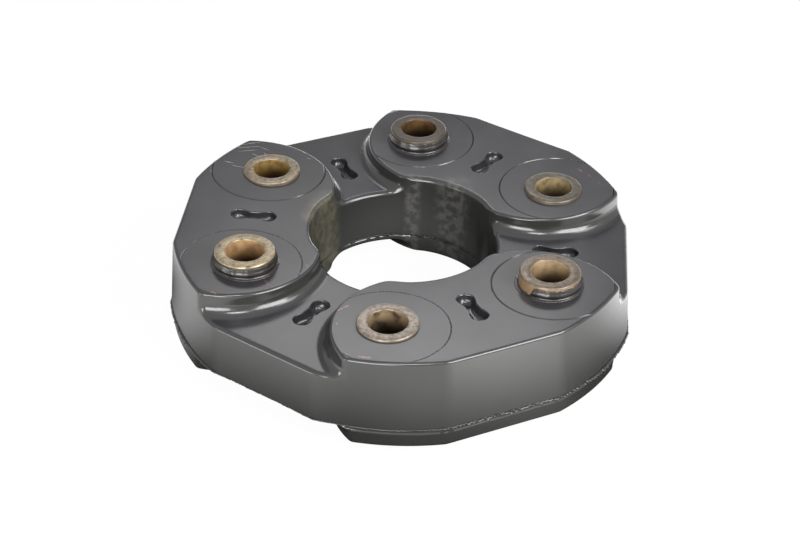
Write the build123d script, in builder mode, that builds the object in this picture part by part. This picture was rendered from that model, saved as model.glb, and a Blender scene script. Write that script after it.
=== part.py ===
"""Driveshaft flex disc: a moulded rubber coupling with six steel sleeves and cord loops inside."""

import os
from math import atan2, copysign, cos, degrees, hypot, radians, sin, tan

from build123d import *

os.makedirs("parts", exist_ok=True)

# Bolt circle and sleeves. Even sleeves stand out of the upper face, odd ones out of the lower face.
pitch_circle_diameter = 110.0
bolt_count = 6
first_bolt_angle = -90.0
sleeve_outer_diameter = 19.2
sleeve_bore_diameter = 12.2
sleeve_length = 35.0
sleeve_shift = 1.7
sleeve_mouth_bevel = 0.35
sleeve_rim_bevel = 0.6

# Rubber body, seen from its parting plane, where the two mould halves meet
disc_diameter = 152.8
disc_across_flats = 147.8
waist_thickness = 16.5
pad_top_height = 15.3
pad_bottom_depth = 15.0
pad_top_slope = 1.8
upper_wall_draft = 3.9
lower_wall_draft = 1.0
underside_rim_lip = 0.8
underside_fall = 1.7
underside_edge_bevel = 0.5
edge_round = 1.0

# Raised pads: each covers two neighbouring sleeves and ends in two wide arcs
pad_end_radius = 29.5
pad_end_centre_radius = 55.8
pad_end_setback = 11.7
pad_end_draft = 4.0
pad_middle_width = 24.0
upper_foot_cove = 3.6
lower_foot_cove = 3.4

# Centre opening, narrowest at the parting plane
opening_diameter = 58.6
opening_upper_draft = 3.0
opening_lower_draft = 1.0

# Dog-bone pin pockets between the sleeves, on both faces
pocket_inner_radius = 44.6
pocket_outer_radius = 54.2
pocket_end_diameter = 6.0
pocket_web_width = 4.6
pocket_depth = 5.6
pocket_floor_bevel = 1.2
pocket_mouth_clearance = 1.0

# Rubber skin up the proud sleeve ends, torn open on one of them
skin_thickness = 0.35
skin_end_gap = 0.9
tear_sleeve_number = 2
tear_start_angle = 150.0
tear_end_angle = 235.0
tear_foot_height = 0.5

# Cord loops and the collars that keep them in place on the sleeves
loop_inner_radius = 10.6
loop_outer_radius = 15.5
centre_loop_height = 10.0
side_loop_height = 5.8
loop_spacing = 0.8
collar_radius = 13.8
collar_thickness = 1.2

# Sizes and places that follow
pitch_radius = pitch_circle_diameter / 2
bolt_step = 360 / bolt_count
pair_count = bolt_count // 2
pair_radius = pitch_radius * cos(radians(bolt_step / 2))
sleeve_spacing = 2 * pitch_radius * sin(radians(bolt_step / 2))
bolt_angles = {number + 1: first_bolt_angle + bolt_step * number for number in range(bolt_count)}
pad_angles = [first_bolt_angle + bolt_step * (2 * pair + 0.5) for pair in range(pair_count)]
recess_angles = [first_bolt_angle + bolt_step * (2 * pair + 1.5) for pair in range(pair_count)]
recess_height = waist_thickness / 2
parting_height = -waist_thickness / 2
disc_radius = disc_diameter / 2
sleeve_radius = sleeve_outer_diameter / 2
opening_radius = opening_diameter / 2
upper_height = pad_top_height - parting_height
lower_depth = pad_bottom_depth + parting_height
upper_rim_radius = disc_radius - upper_height * tan(radians(upper_wall_draft))
lower_rim_radius = disc_radius - lower_depth * tan(radians(lower_wall_draft))
opening_top_radius = opening_radius + upper_height * tan(radians(opening_upper_draft))
opening_bottom_radius = opening_radius + lower_depth * tan(radians(opening_lower_draft))
underside_slope = underside_fall / (disc_radius - opening_radius)
pocket_radius = (pocket_inner_radius + pocket_outer_radius) / 2
side_loop_base = centre_loop_height / 2 + loop_spacing
collar_base = side_loop_base + side_loop_height
proud_reach = sleeve_length / 2 + sleeve_shift
clear_of_part = 20.0
space_radius = disc_radius + clear_of_part
hair = 0.01


def at_polar(radius, angle, height=0.0):
    """Point at a radius and an angle about the disc's axis."""
    return (radius * cos(radians(angle)), radius * sin(radians(angle)), height)


def pad_height(radius):
    """Height of the pads' top face, which falls gently from the rim to the opening."""
    return pad_top_height - (upper_rim_radius - radius) * tan(radians(pad_top_slope))


def underside_height(radius):
    """Height of the recess floors of the lower face, a cone that is lowest at the opening."""
    return parting_height - underside_rim_lip - underside_slope * (disc_radius - radius)


def proud_side(number):
    """Side on which a sleeve stands proud: 1 is up, for even numbers, and -1 is down."""
    return 1 if number % 2 == 0 else -1


def pad_end_centres(angle):
    """Centres of the two arcs that end the pad whose middle stands at an angle."""
    centres = []
    for side in (-1, 1):
        bolt_angle = angle + side * bolt_step / 2
        setback_angle = degrees(atan2(pad_end_setback, pad_end_centre_radius))
        reach = hypot(pad_end_centre_radius, pad_end_setback)
        centres.append(at_polar(reach, bolt_angle - side * setback_angle))
    return centres


def on_lower_pad_end(edge):
    """Whether an edge's middle lies on one of the drafted arcs that end the lower pads."""
    middle = edge @ 0.5
    radius = pad_end_radius - abs(middle.Z) * tan(radians(pad_end_draft))
    for angle in pad_angles:
        for x, y, _ in pad_end_centres(angle):
            if abs(hypot(middle.X - x, middle.Y - y) - radius) < hair:
                return True
    return False


def sharp_edges(part, lowest, highest, least_turn=15.0):
    """Edges of a part between two heights where its faces meet at a clear angle."""
    sides = {}
    for face in part.faces():
        for edge in face.edges():
            sides.setdefault(edge, []).append(face)
    chosen = []
    for edge, faces in sides.items():
        box = edge.bounding_box()
        if len(faces) != 2 or box.min.Z < lowest or box.max.Z > highest:
            continue
        normals = [face.normal_at(edge @ 0.5) for face in faces]
        if normals[0].get_angle(normals[1]) > least_turn:
            chosen.append(edge)
    return chosen


def with_soft_edges(part):
    """Moulded part with coves at the pads' feet, rounded upper edges and bevelled lower ones."""
    upper_feet = [
        edge
        for edge in part.edges().filter_by(GeomType.CIRCLE)
        if abs((edge @ 0.5).Z - recess_height) < hair and abs(edge.radius - pad_end_radius) < hair
    ]
    part = part.fillet(upper_foot_cove, upper_feet)
    lower_feet = [
        edge
        for edge in sharp_edges(part, underside_height(0), parting_height - hair)
        if on_lower_pad_end(edge)
    ]
    part = part.fillet(lower_foot_cove, lower_feet)
    upper_edges = sharp_edges(part, recess_height - hair, pad_top_height + hair)
    part = part.fillet(edge_round, upper_edges)
    lower_edges = sharp_edges(part, -pad_bottom_depth - hair, parting_height - hair)
    return part.chamfer(underside_edge_bevel, None, lower_edges)


def flats(amount, draft):
    """Six drafted flats: a hexagonal prism that narrows away from the parting plane."""
    with BuildPart() as prism:
        with BuildSketch(Plane.XY.offset(parting_height)):
            RegularPolygon(
                disc_across_flats / 2, bolt_count, major_radius=False, rotation=bolt_step / 2
            )
        extrude(amount=abs(amount), dir=(0, 0, copysign(1, amount)), taper=draft)
    return prism.part


def cord_loop(angle, base, height):
    """Endless cord winding round the two sleeves on either side of an angle."""
    across = at_polar(1, angle + 90)
    with BuildPart() as loop:
        with BuildSketch(Plane(at_polar(pair_radius, angle, base), x_dir=across)):
            SlotCenterToCenter(sleeve_spacing, 2 * loop_outer_radius)
            SlotCenterToCenter(sleeve_spacing, 2 * loop_inner_radius, mode=Mode.SUBTRACT)
        extrude(amount=height)
    return loop.part


def end_collar(number, base):
    """Thin washer pressed on a sleeve outside its outermost loop."""
    with BuildPart() as collar:
        with BuildSketch(Plane(at_polar(pitch_radius, bolt_angles[number], base))):
            Circle(collar_radius)
            Circle(sleeve_radius, mode=Mode.SUBTRACT)
        extrude(amount=collar_thickness)
    return collar.part


def bolt_sleeve(number):
    """Turned steel bush for one bolt, bevelled at its rims and at the mouths of its bore."""
    base = proud_side(number) * sleeve_shift - sleeve_length / 2
    with BuildPart() as sleeve:
        with BuildSketch(Plane(at_polar(pitch_radius, bolt_angles[number], base))):
            Circle(sleeve_radius)
            Circle(sleeve_bore_diameter / 2, mode=Mode.SUBTRACT)
        extrude(amount=sleeve_length)
        rings = sleeve.edges().filter_by(GeomType.CIRCLE).group_by(SortBy.RADIUS)
        chamfer(rings[-1], length=sleeve_rim_bevel)
        mouths = sleeve.edges().filter_by(GeomType.CIRCLE).group_by(SortBy.RADIUS)[0]
        chamfer(mouths, length=sleeve_mouth_bevel)
    return sleeve.part


# Pieces sealed in the rubber or bonded to it
sleeves = {f"bolt_sleeve_{number}": bolt_sleeve(number) for number in bolt_angles}
inner_pieces = {}
for pair, angle in enumerate(recess_angles, start=1):
    inner_pieces[f"cord_loop_centre_{pair}"] = cord_loop(
        angle, -centre_loop_height / 2, centre_loop_height
    )
for pair, angle in enumerate(pad_angles, start=1):
    inner_pieces[f"cord_loop_upper_{pair}"] = cord_loop(angle, side_loop_base, side_loop_height)
    inner_pieces[f"cord_loop_lower_{pair}"] = cord_loop(
        angle, -side_loop_base - side_loop_height, side_loop_height
    )
for number in bolt_angles:
    inner_pieces[f"end_collar_upper_{number}"] = end_collar(number, collar_base)
    inner_pieces[f"end_collar_lower_{number}"] = end_collar(number, -collar_base - collar_thickness)

# Pin of the mould that leaves one pocket: its mouth is at height 0 and it points down
with BuildPart() as pocket_pin:
    with BuildSketch(Plane.XY.offset(pocket_mouth_clearance)):
        web_length = pocket_outer_radius - pocket_inner_radius
        with Locations((-web_length / 2, 0), (web_length / 2, 0)):
            Circle(pocket_end_diameter / 2)
        Rectangle(web_length, pocket_web_width)
    extrude(amount=-(pocket_mouth_clearance + pocket_depth))
    chamfer(pocket_pin.faces().sort_by(Axis.Z)[0].edges(), length=pocket_floor_bevel)

# Hexagon of the disc's flats, above and below the parting plane
upper_flats = flats(upper_height, upper_wall_draft)
lower_flats = flats(-lower_depth, lower_wall_draft)

# Space that the three pads leave free above a recess floor at height 0
on_floor = (Align.CENTER, Align.CENTER, Align.MIN)
with BuildPart() as recess_space:
    Cylinder(space_radius, clear_of_part, align=on_floor)
    for angle in pad_angles:
        with Locations(*pad_end_centres(angle)):
            Cone(
                pad_end_radius,
                pad_end_radius - clear_of_part * tan(radians(pad_end_draft)),
                clear_of_part,
                align=on_floor,
                mode=Mode.SUBTRACT,
            )
        with Locations(Location(at_polar(pitch_radius, angle), (0, 0, angle))):
            Box(pitch_radius, pad_middle_width, clear_of_part, align=on_floor, mode=Mode.SUBTRACT)

# The same space for the lower face, whose recess floors fall towards the opening
with BuildPart() as underside_space:
    add(recess_space.part.mirror(Plane.XY))
    with BuildSketch(Plane.XZ):
        with BuildLine():
            Polyline(
                (0, 0),
                (space_radius, 0),
                (space_radius, underside_height(space_radius)),
                (0, underside_height(0)),
                close=True,
            )
        make_face()
    revolve(axis=Axis.Z, mode=Mode.SUBTRACT)

# Rubber body, turned from one profile: both walls of the ring are drafted from the parting plane
with BuildPart() as rubber_body:
    with BuildSketch(Plane.XZ):
        with BuildLine():
            Polyline(
                (opening_radius, parting_height),
                (opening_top_radius, pad_height(opening_top_radius)),
                (upper_rim_radius, pad_top_height),
                (disc_radius, parting_height),
                (lower_rim_radius, -pad_bottom_depth),
                (opening_bottom_radius, -pad_bottom_depth),
                close=True,
            )
        make_face()
    revolve(axis=Axis.Z)
    add(upper_flats + lower_flats, mode=Mode.INTERSECT)
    with Locations((0, 0, recess_height)):
        add(recess_space.part, mode=Mode.SUBTRACT)
    add(underside_space.part, mode=Mode.SUBTRACT)
    add(with_soft_edges(rubber_body.part), clean=False, mode=Mode.REPLACE)

    # Pin pockets, at the height of the face that each is sunk in
    for angle in pad_angles + recess_angles:
        on_pad = angle in pad_angles
        top = pad_height(pocket_radius) if on_pad else recess_height
        bottom = -pad_bottom_depth if on_pad else underside_height(pocket_radius)
        with Locations(
            Location(at_polar(pocket_radius, angle, top), (0, 0, angle)),
            Location(at_polar(pocket_radius, angle, bottom), (180, 0, -angle)),
        ):
            add(pocket_pin.part, mode=Mode.SUBTRACT)

    # Skin drawn up the proud end of each sleeve, with the tear in one of them
    for number, angle in bolt_angles.items():
        base = collar_base * proud_side(number)
        with BuildSketch(Plane(at_polar(pitch_radius, angle, base))):
            Circle(sleeve_radius + skin_thickness)
        skin_reach = proud_reach - skin_end_gap - collar_base
        extrude(amount=skin_reach, dir=(0, 0, proud_side(number)))
    tear_base = pad_height(pitch_radius + sleeve_radius) + tear_foot_height
    with BuildSketch(Plane(at_polar(pitch_radius, bolt_angles[tear_sleeve_number], tear_base))):
        with BuildLine():
            edge_arc = CenterArc(
                (0, 0), sleeve_outer_diameter, tear_start_angle, tear_end_angle - tear_start_angle
            )
            Polyline(edge_arc @ 1, (0, 0), edge_arc @ 0)
        make_face()
    extrude(amount=sleeve_length, mode=Mode.SUBTRACT)

    # Seats that the inner pieces and the sleeves fill
    add(list(inner_pieces.values()), mode=Mode.SUBTRACT)
    with BuildSketch(Plane.XY.offset(-proud_reach)):
        with PolarLocations(pitch_radius, bolt_count, start_angle=first_bolt_angle):
            Circle(sleeve_radius)
    extrude(amount=2 * proud_reach, mode=Mode.SUBTRACT)

# One file for each piece
pieces = {"rubber_body": rubber_body.part} | sleeves | inner_pieces
for node, piece in pieces.items():
    piece.label = node
    export_step(piece, f"parts/{node}.step")
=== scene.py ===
"""Looks of a driveshaft flex disc: moulded rubber body, bonded steel sleeves, soft daylight studio.

Lengths in this file are millimetres, as on the object, and become metres where Blender takes them.
Angles are degrees. The rubber's skin is one closed grid of points that is pulled onto the zero
level of a distance field, so every cove, round and crease has the radius that its field gives it.
"""

import logging
from dataclasses import dataclass, field
from enum import Enum

import bmesh
import bpy
import numpy as np
from mathutils import Matrix, Vector

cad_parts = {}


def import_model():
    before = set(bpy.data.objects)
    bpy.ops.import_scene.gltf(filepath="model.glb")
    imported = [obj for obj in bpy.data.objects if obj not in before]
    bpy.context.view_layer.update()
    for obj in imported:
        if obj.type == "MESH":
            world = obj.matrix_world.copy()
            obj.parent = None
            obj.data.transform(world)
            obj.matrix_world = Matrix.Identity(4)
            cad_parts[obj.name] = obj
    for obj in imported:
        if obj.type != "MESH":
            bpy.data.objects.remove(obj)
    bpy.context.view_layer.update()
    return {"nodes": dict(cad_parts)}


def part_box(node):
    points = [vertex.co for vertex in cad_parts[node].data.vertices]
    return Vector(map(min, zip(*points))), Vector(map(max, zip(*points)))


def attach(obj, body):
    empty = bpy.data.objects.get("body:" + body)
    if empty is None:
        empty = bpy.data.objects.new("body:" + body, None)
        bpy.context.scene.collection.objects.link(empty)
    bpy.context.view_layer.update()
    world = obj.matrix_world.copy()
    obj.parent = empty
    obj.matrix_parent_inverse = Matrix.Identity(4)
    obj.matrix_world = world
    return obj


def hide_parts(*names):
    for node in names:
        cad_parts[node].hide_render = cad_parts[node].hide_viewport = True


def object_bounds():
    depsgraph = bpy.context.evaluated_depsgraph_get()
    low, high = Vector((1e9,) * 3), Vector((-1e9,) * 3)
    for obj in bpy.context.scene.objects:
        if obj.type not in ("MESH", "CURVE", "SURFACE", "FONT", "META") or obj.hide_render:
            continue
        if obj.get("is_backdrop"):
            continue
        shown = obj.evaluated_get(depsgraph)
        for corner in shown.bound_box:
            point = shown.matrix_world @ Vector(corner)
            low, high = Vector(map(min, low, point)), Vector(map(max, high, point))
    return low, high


LOG = logging.getLogger("flex_disc")
MILLIMETRE = 0.001
FULL_TURN = 360.0
SECTORS = 3
SECTOR = 120.0  # one recess and one pad of a face
HALF_SECTOR = 60.0  # from the middle of a recess to the middle of a pad
SLEEVES = 6
STEP = 60.0  # from one bolt, one pocket or one flat of the rim to the next
BORE_DEPTH = "bore_depth"  # attribute of the sleeves that their finish reads

Points = np.ndarray
Socket = bpy.types.NodeSocket


class Slot(Enum):
    """Material slots of the record, named here; no piece in this script takes them."""

    RUBBER = "moulded_rubber"
    SLEEVE = "plated_steel"


class Face(Enum):
    """The two faces of the disc, with the sign of their outward direction along Z."""

    UPPER = 1
    LOWER = -1


class Wall(Enum):
    """The two walls that carry a fin of flash, with the sign of their way out along the radius."""

    RIM = 1
    OPENING = -1


class Side(Enum):
    """Stretches of the body's section, in the order in which the rows go round it."""

    TOP = "top"
    OUTER_UPPER = "outer_upper"
    OUTER_SEAM = "outer_seam"
    OUTER_LOWER = "outer_lower"
    BOTTOM = "bottom"
    INNER_LOWER = "inner_lower"
    INNER_SEAM = "inner_seam"
    INNER_UPPER = "inner_upper"


def cosd(angle: Points | float) -> Points | float:
    """Cosine of an angle in degrees."""
    return np.cos(np.radians(angle))


def sind(angle: Points | float) -> Points | float:
    """Sine of an angle in degrees."""
    return np.sin(np.radians(angle))


def tand(angle: Points | float) -> Points | float:
    """Tangent of an angle in degrees."""
    return np.tan(np.radians(angle))


def from_nearest(turn: Points, step: float) -> Points:
    """Angle from the nearest whole number of steps, between minus and plus half a step."""
    return (turn + step / 2.0) % step - step / 2.0


def smooth_step(low: float, high: float, value: Points) -> Points:
    """Runs from 0 at low to 1 at high, with level ends: 3 t squared less 2 t cubed."""
    share = np.clip((value - low) / (high - low), 0.0, 1.0)
    return share * share * (3.0 - 2.0 * share)


def bell(value: Points, width: float) -> Points:
    """Bell curve of height 1 about 0: e to the minus (value over width) squared."""
    return np.exp(-((value / width) ** 2))


def cut_round(first: Points, second: Points, radius: Points | float) -> Points:
    """Distance to what lies in both fields, with the edge between them rounded.

    Where both fields are within the radius of 0 the level is a quarter circle:
    the root of the sum of squares of how far each reaches past minus the radius.

    Args:
        first: Signed distance to the first body, negative inside.
        second: Signed distance to the second body.
        radius: Radius of the round.

    Returns:
        Signed distance to the rounded overlap.
    """
    over_first = np.maximum(radius + first, 0.0)
    over_second = np.maximum(radius + second, 0.0)
    return np.minimum(-radius, np.maximum(first, second)) + np.hypot(over_first, over_second)


def join_cove(first: Points, second: Points, radius: Points | float) -> Points:
    """Distance to what lies in either field, with a cove of that radius in the inner corner.

    The mirror image of `cut_round`: the quarter circle lies outside both bodies.

    Args:
        first: Signed distance to the first body, negative inside.
        second: Signed distance to the second body.
        radius: Radius of the cove.

    Returns:
        Signed distance to the joined body.
    """
    return -cut_round(-first, -second, radius)


def ring_noise(turn: Points, waves: range, seed: int) -> Points:
    """Rough line that closes on itself: cosines of whole numbers of waves with random phases.

    Args:
        turn: Angles round the ring.
        waves: Wave counts that are added up.
        seed: Seed of the phases and heights.

    Returns:
        Values of about -1 to 1, one for each angle.
    """
    random = np.random.default_rng(seed)
    counts = np.array(list(waves), float)
    phases = random.uniform(0.0, FULL_TURN, counts.size)
    heights = random.uniform(0.4, 1.0, counts.size)
    angles = np.multiply.outer(np.asarray(turn, float), counts) + phases
    total = (cosd(angles) * heights).sum(-1)
    return total / np.sqrt((heights**2).sum() * 2.0)


@dataclass(frozen=True)
class Wobble:
    """Roughness of a line round a ring: how far it strays, in which wave counts, and its seed."""

    height: float
    waves: range
    seed: int

    def at(self, turn: Points, piece: int = 0) -> Points:
        """How far the line strays in each direction, with a seed of its own for each piece."""
        return self.height * ring_noise(turn, self.waves, self.seed + piece)


def linear(hex_colour: str) -> tuple[float, float, float, float]:
    """Linear colour of an sRGB hex value, by the sRGB curve.

    Args:
        hex_colour: Six hex digits, such as "3a3a3d".

    Returns:
        Red, green, blue and an alpha of 1, for a node's socket.
    """
    channels = [int(hex_colour[i : i + 2], 16) / 255.0 for i in (0, 2, 4)]
    curve = [c / 12.92 if c <= 0.04045 else ((c + 0.055) / 1.055) ** 2.4 for c in channels]
    return (curve[0], curve[1], curve[2], 1.0)


def grid_faces(rows: int, columns: int, closed_rows: bool) -> Points:
    """Quads of a grid that closes on itself round its columns.

    Args:
        rows: Number of rings of points.
        columns: Points in each ring.
        closed_rows: Whether the last ring joins the first one.

    Returns:
        Point numbers, four for each quad.
    """
    last = rows if closed_rows else rows - 1
    row, column = np.meshgrid(np.arange(last), np.arange(columns), indexing="ij")
    below, beside = (row + 1) % rows, (column + 1) % columns
    corners = (
        row * columns + column,
        below * columns + column,
        below * columns + beside,
        row * columns + beside,
    )
    return np.stack(corners, -1).reshape(-1, 4)


def lathe(
    profile: list[tuple[float, float]], segments: int, closed: bool = True
) -> tuple[Points, Points]:
    """Surface of revolution about Z: each profile point (radius, height) goes round in a circle.

    Args:
        profile: Radius and height of each point, with the outside on the left of the line.
        segments: Points in each circle.
        closed: Whether the last profile point joins the first one.

    Returns:
        Points and quads.
    """
    turn = np.arange(segments) * FULL_TURN / segments
    radius, height = np.array(profile, float).T
    x = np.multiply.outer(radius, cosd(turn))
    y = np.multiply.outer(radius, sind(turn))
    z = np.repeat(height[:, None], segments, 1)
    return np.stack([x, y, z], -1).reshape(-1, 3), grid_faces(len(profile), segments, closed)


def mesh_object(
    name: str, points: Points, faces: list | Points, smooth: bool = True
) -> bpy.types.Object:
    """Blender object at the origin, from points in millimetres.

    Args:
        name: Name of the piece.
        points: Points, one row each.
        faces: Point numbers of each face.
        smooth: Whether its faces are shaded smooth.

    Returns:
        The new object, linked into the scene.
    """
    mesh = bpy.data.meshes.new(name)
    scaled = np.asarray(points, float) * MILLIMETRE
    corners = faces.tolist() if isinstance(faces, np.ndarray) else faces
    mesh.from_pydata(scaled.tolist(), [], corners)
    mesh.polygons.foreach_set("use_smooth", [smooth] * len(mesh.polygons))
    mesh.update()
    piece = bpy.data.objects.new(name, mesh)
    bpy.context.scene.collection.objects.link(piece)
    return piece


def read_array(
    items: bpy.types.bpy_prop_collection, name: str, width: int = 1, kind: type = float
) -> Points:
    """One property of every item of a mesh.

    Args:
        items: The mesh's vertices, loops, polygons or corner normals.
        name: The property.
        width: How many numbers it has.
        kind: Type of its numbers.

    Returns:
        One row for each item, or one number where the width is 1.
    """
    values = np.empty(len(items) * width, dtype=kind)
    items.foreach_get(name, values)
    return values.reshape(-1, width) if width > 1 else values


@dataclass
class Layout:
    """Places and main sizes of the disc, as in the CAD model."""

    pitch_radius: float = 55.0
    first_bolt: float = -90.0
    disc_radius: float = 76.4
    flat_distance: float = 73.9
    recess_height: float = 8.25
    parting_height: float = -8.25
    pad_top: float = 15.3
    pad_bottom: float = -15.0
    pad_slope: float = 1.8
    rim_top_radius: float = 74.79
    rim_lip: float = 0.8
    underside_rate: float = 0.0361
    sleeve_radius: float = 9.6
    bore_radius: float = 6.1
    proud_height: float = 19.2
    pocket_radius: float = 49.4

    def bolt_angle(self, number: int) -> float:
        """Direction of a bolt, from its number of 1 to 6."""
        return self.first_bolt + STEP * (number - 1)

    def bolt_centre(self, number: int) -> Points:
        """Middle of a bolt hole in the disc's plane."""
        angle = self.bolt_angle(number)
        return self.pitch_radius * np.array([cosd(angle), sind(angle)])

    def pad_height(self, radius: Points) -> Points:
        """Height of the pads' top face, which falls gently towards the opening."""
        return self.pad_top - (self.rim_top_radius - radius) * tand(self.pad_slope)

    def underside_height(self, radius: Points) -> Points:
        """Height of the lower recess floors, a cone that is lowest at the opening."""
        fall = self.underside_rate * (self.disc_radius - radius)
        return self.parting_height - self.rim_lip - fall


@dataclass
class RubberField:
    """Distance field of the moulded body without its pockets and its sleeves' holes.

    A pad ends in an arc of `arc_radius` about a point at `arc_reach` and `arc_angle`, and its
    middle is `middle_half_width` wide to each side of its own line. The seam is the step in the
    wall where the mould halves met, with a groove below it.
    """

    layout: Layout = field(default_factory=Layout)
    arc_radius: float = 29.5
    arc_reach: float = 57.01
    arc_angle: float = 41.85
    arc_draft: float = 4.0
    middle_half_width: float = 12.0
    outline_cove: float = 1.0
    upper_draft: float = 3.9
    lower_draft: float = 1.0
    opening_radius: float = 29.3
    opening_upper_draft: float = 3.0
    upper_cove: float = 3.6
    lower_cove: float = 3.4
    pad_round: float = 1.0
    lower_round: float = 0.7
    opening_round: float = 1.6
    recess_round: float = 1.4
    corner_round: float = 0.45
    lower_inset: float = 0.25
    parting_step: tuple[float, float] = (-0.25, 0.05)
    seam_depth: float = 0.75
    seam_drop: float = 0.75
    seam_width: float = 0.42
    seam_wobble: Wobble = Wobble(0.45, range(5, 60, 3), 4)
    inner_seam_depth: float = 0.375
    inner_seam_drop: float = 0.5
    inner_seam_width: float = 0.4
    ridge_height: float = 0.35
    ridge_width: float = 3.0
    side_blend: float = 2.0
    pad_blend: tuple[float, float] = (1.5, 4.0)
    least_slope: float = 0.2

    def fold(self, x: Points, y: Points) -> tuple[Points, Points, Points]:
        """Radius, direction, and angle from the nearest recess middle, 0 to 60 degrees."""
        turn = np.degrees(np.arctan2(y, x))
        return np.hypot(x, y), turn, np.abs(from_nearest(turn, SECTOR))

    def pad_outline(self, radius: Points, away: Points, height: Points) -> Points:
        """Distance past the outline of the pads: an arc at each end, and a straight middle.

        Args:
            radius: Distances from the axis.
            away: Angles from the nearest recess middle.
            height: Heights above the level where the pads start, over which the arc draws in.

        Returns:
            Signed distances, negative inside.
        """
        across = radius * cosd(away - self.arc_angle) - self.arc_reach
        along = radius * sind(away - self.arc_angle)
        arc = np.hypot(across, along) - (self.arc_radius - height * tand(self.arc_draft))
        middle = np.abs(radius * sind(HALF_SECTOR - away)) - self.middle_half_width
        return join_cove(arc, middle, self.outline_cove)

    def top(self, radius: Points, away: Points, height: Points) -> Points:
        """Distance above the upper face: the recess floors and the pads, with a cove between.

        Args:
            radius: Distances from the axis.
            away: Angles from the nearest recess middle.
            height: Heights.

        Returns:
            Signed distances, negative below the face.
        """
        layout = self.layout
        outline = self.pad_outline(radius, away, height - layout.recess_height)
        pads = cut_round(outline, height - layout.pad_height(radius), self.pad_round)
        return join_cove(height - layout.recess_height, pads, self.upper_cove)

    def bottom(self, radius: Points, away: Points, height: Points) -> Points:
        """Distance below the lower face: coned recess floors and the pads, with a cove between.

        Args:
            radius: Distances from the axis.
            away: Angles from the nearest recess middle.
            height: Heights.

        Returns:
            Signed distances, negative above the face.
        """
        layout = self.layout
        outline = self.pad_outline(radius, away, -height)
        pads = cut_round(outline, layout.pad_bottom - height, self.lower_round)
        return join_cove(layout.underside_height(radius) - height, pads, self.lower_cove)

    def rim_inset(self, height: Points) -> Points:
        """How far the outer wall stands in from its widest line.

        Args:
            height: Heights.

        Returns:
            Insets by the upper draft above the parting line, and by the lower draft below it.
        """
        above = height - self.layout.parting_height
        upper = above * tand(self.upper_draft)
        lower = self.lower_inset - above * tand(self.lower_draft)
        share = smooth_step(*self.parting_step, above)
        return upper * share + lower * (1.0 - share)

    def opening_at(self, height: Points) -> Points:
        """Radius of the centre opening, which widens both ways from the parting line.

        Args:
            height: Heights.

        Returns:
            Radii.
        """
        above = height - self.layout.parting_height
        upper, lower = above * tand(self.opening_upper_draft), -above * tand(self.lower_draft)
        return self.opening_radius + np.where(above > 0.0, upper, lower)

    def rim_at(self, away: Points, height: Points) -> Points:
        """Radius of the outer wall: the nearer of the circle and the flat.

        Args:
            away: Angles from the nearest recess middle.
            height: Heights.

        Returns:
            Radii.
        """
        inset = self.rim_inset(height)
        flat = (self.layout.flat_distance - inset) / cosd(from_nearest(away, STEP))
        return np.minimum(self.layout.disc_radius - inset, flat)

    def value(self, points: Points) -> Points:
        """Signed distance of points from the rubber's surface, negative inside.

        The faces are cut by the walls with a round: wide at the opening and at the recesses,
        narrow on the pads and below.

        Args:
            points: Points in millimetres, in the last axis.

        Returns:
            Distances, exact near faces and within a few percent near edges.
        """
        layout = self.layout
        x, y, z = np.moveaxis(points, -1, 0)
        radius, turn, away = self.fold(x, y)
        above = z - layout.parting_height
        rough = 1.0 + self.seam_wobble.at(turn)
        seam = self.seam_depth * rough * bell(above + self.seam_drop, self.seam_width)
        inset = self.rim_inset(z) + seam
        rim = cut_round(
            radius - (layout.disc_radius - inset),
            radius * cosd(from_nearest(turn, STEP)) - (layout.flat_distance - inset),
            self.corner_round,
        ) * cosd(self.upper_draft)
        from_bolt = radius * sind(from_nearest(turn + STEP / 2.0, STEP))
        ridge = self.ridge_height * bell(from_bolt, self.ridge_width)
        inner_seam = bell(above + self.inner_seam_drop, self.inner_seam_width)
        inner_seam = self.inner_seam_depth * rough * inner_seam
        hole = self.opening_at(z) - ridge + inner_seam - radius
        at_top = smooth_step(-self.side_blend, self.side_blend, z)
        blend_foot, blend_head = (layout.recess_height + rise for rise in self.pad_blend)
        on_pad = smooth_step(blend_foot, blend_head, z)
        rim_round = self.recess_round + (self.pad_round - self.recess_round) * on_pad
        edge = np.where(radius < layout.pitch_radius, self.opening_round, rim_round)
        edge = self.lower_round + (edge - self.lower_round) * at_top
        faces = np.maximum(self.top(radius, away, z), self.bottom(radius, away, z))
        return cut_round(faces, np.maximum(rim, hole), edge)

    def slope(self, points: Points, step: float = 0.004) -> Points:
        """Gradient of the field, by central differences.

        Args:
            points: Points in millimetres, in the last axis.
            step: How far each difference reaches to either side.

        Returns:
            Gradients, in the last axis.
        """
        parts = []
        for axis in np.eye(3) * step:
            parts.append((self.value(points + axis) - self.value(points - axis)) / (2.0 * step))
        return np.stack(parts, -1)

    def settle(self, points: Points, rounds: int = 6, reach: float = 0.8) -> Points:
        """Moves points along the gradient onto the surface: value over slope squared, each round.

        Args:
            points: Points in millimetres, in the last axis.
            rounds: How often they move.
            reach: Longest step.

        Returns:
            Points on the surface.
        """
        for _ in range(rounds):
            slope = self.slope(points)
            size = np.maximum((slope**2).sum(-1), self.least_slope)
            step = np.clip(self.value(points) / size, -reach, reach)
            points = points - slope * step[..., None]
        return points


@dataclass(frozen=True)
class Row:
    """Ring of the grid: its side, the share of the way along it, and millimetres past that."""

    side: Side
    share: float
    extra: float = 0.0


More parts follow.
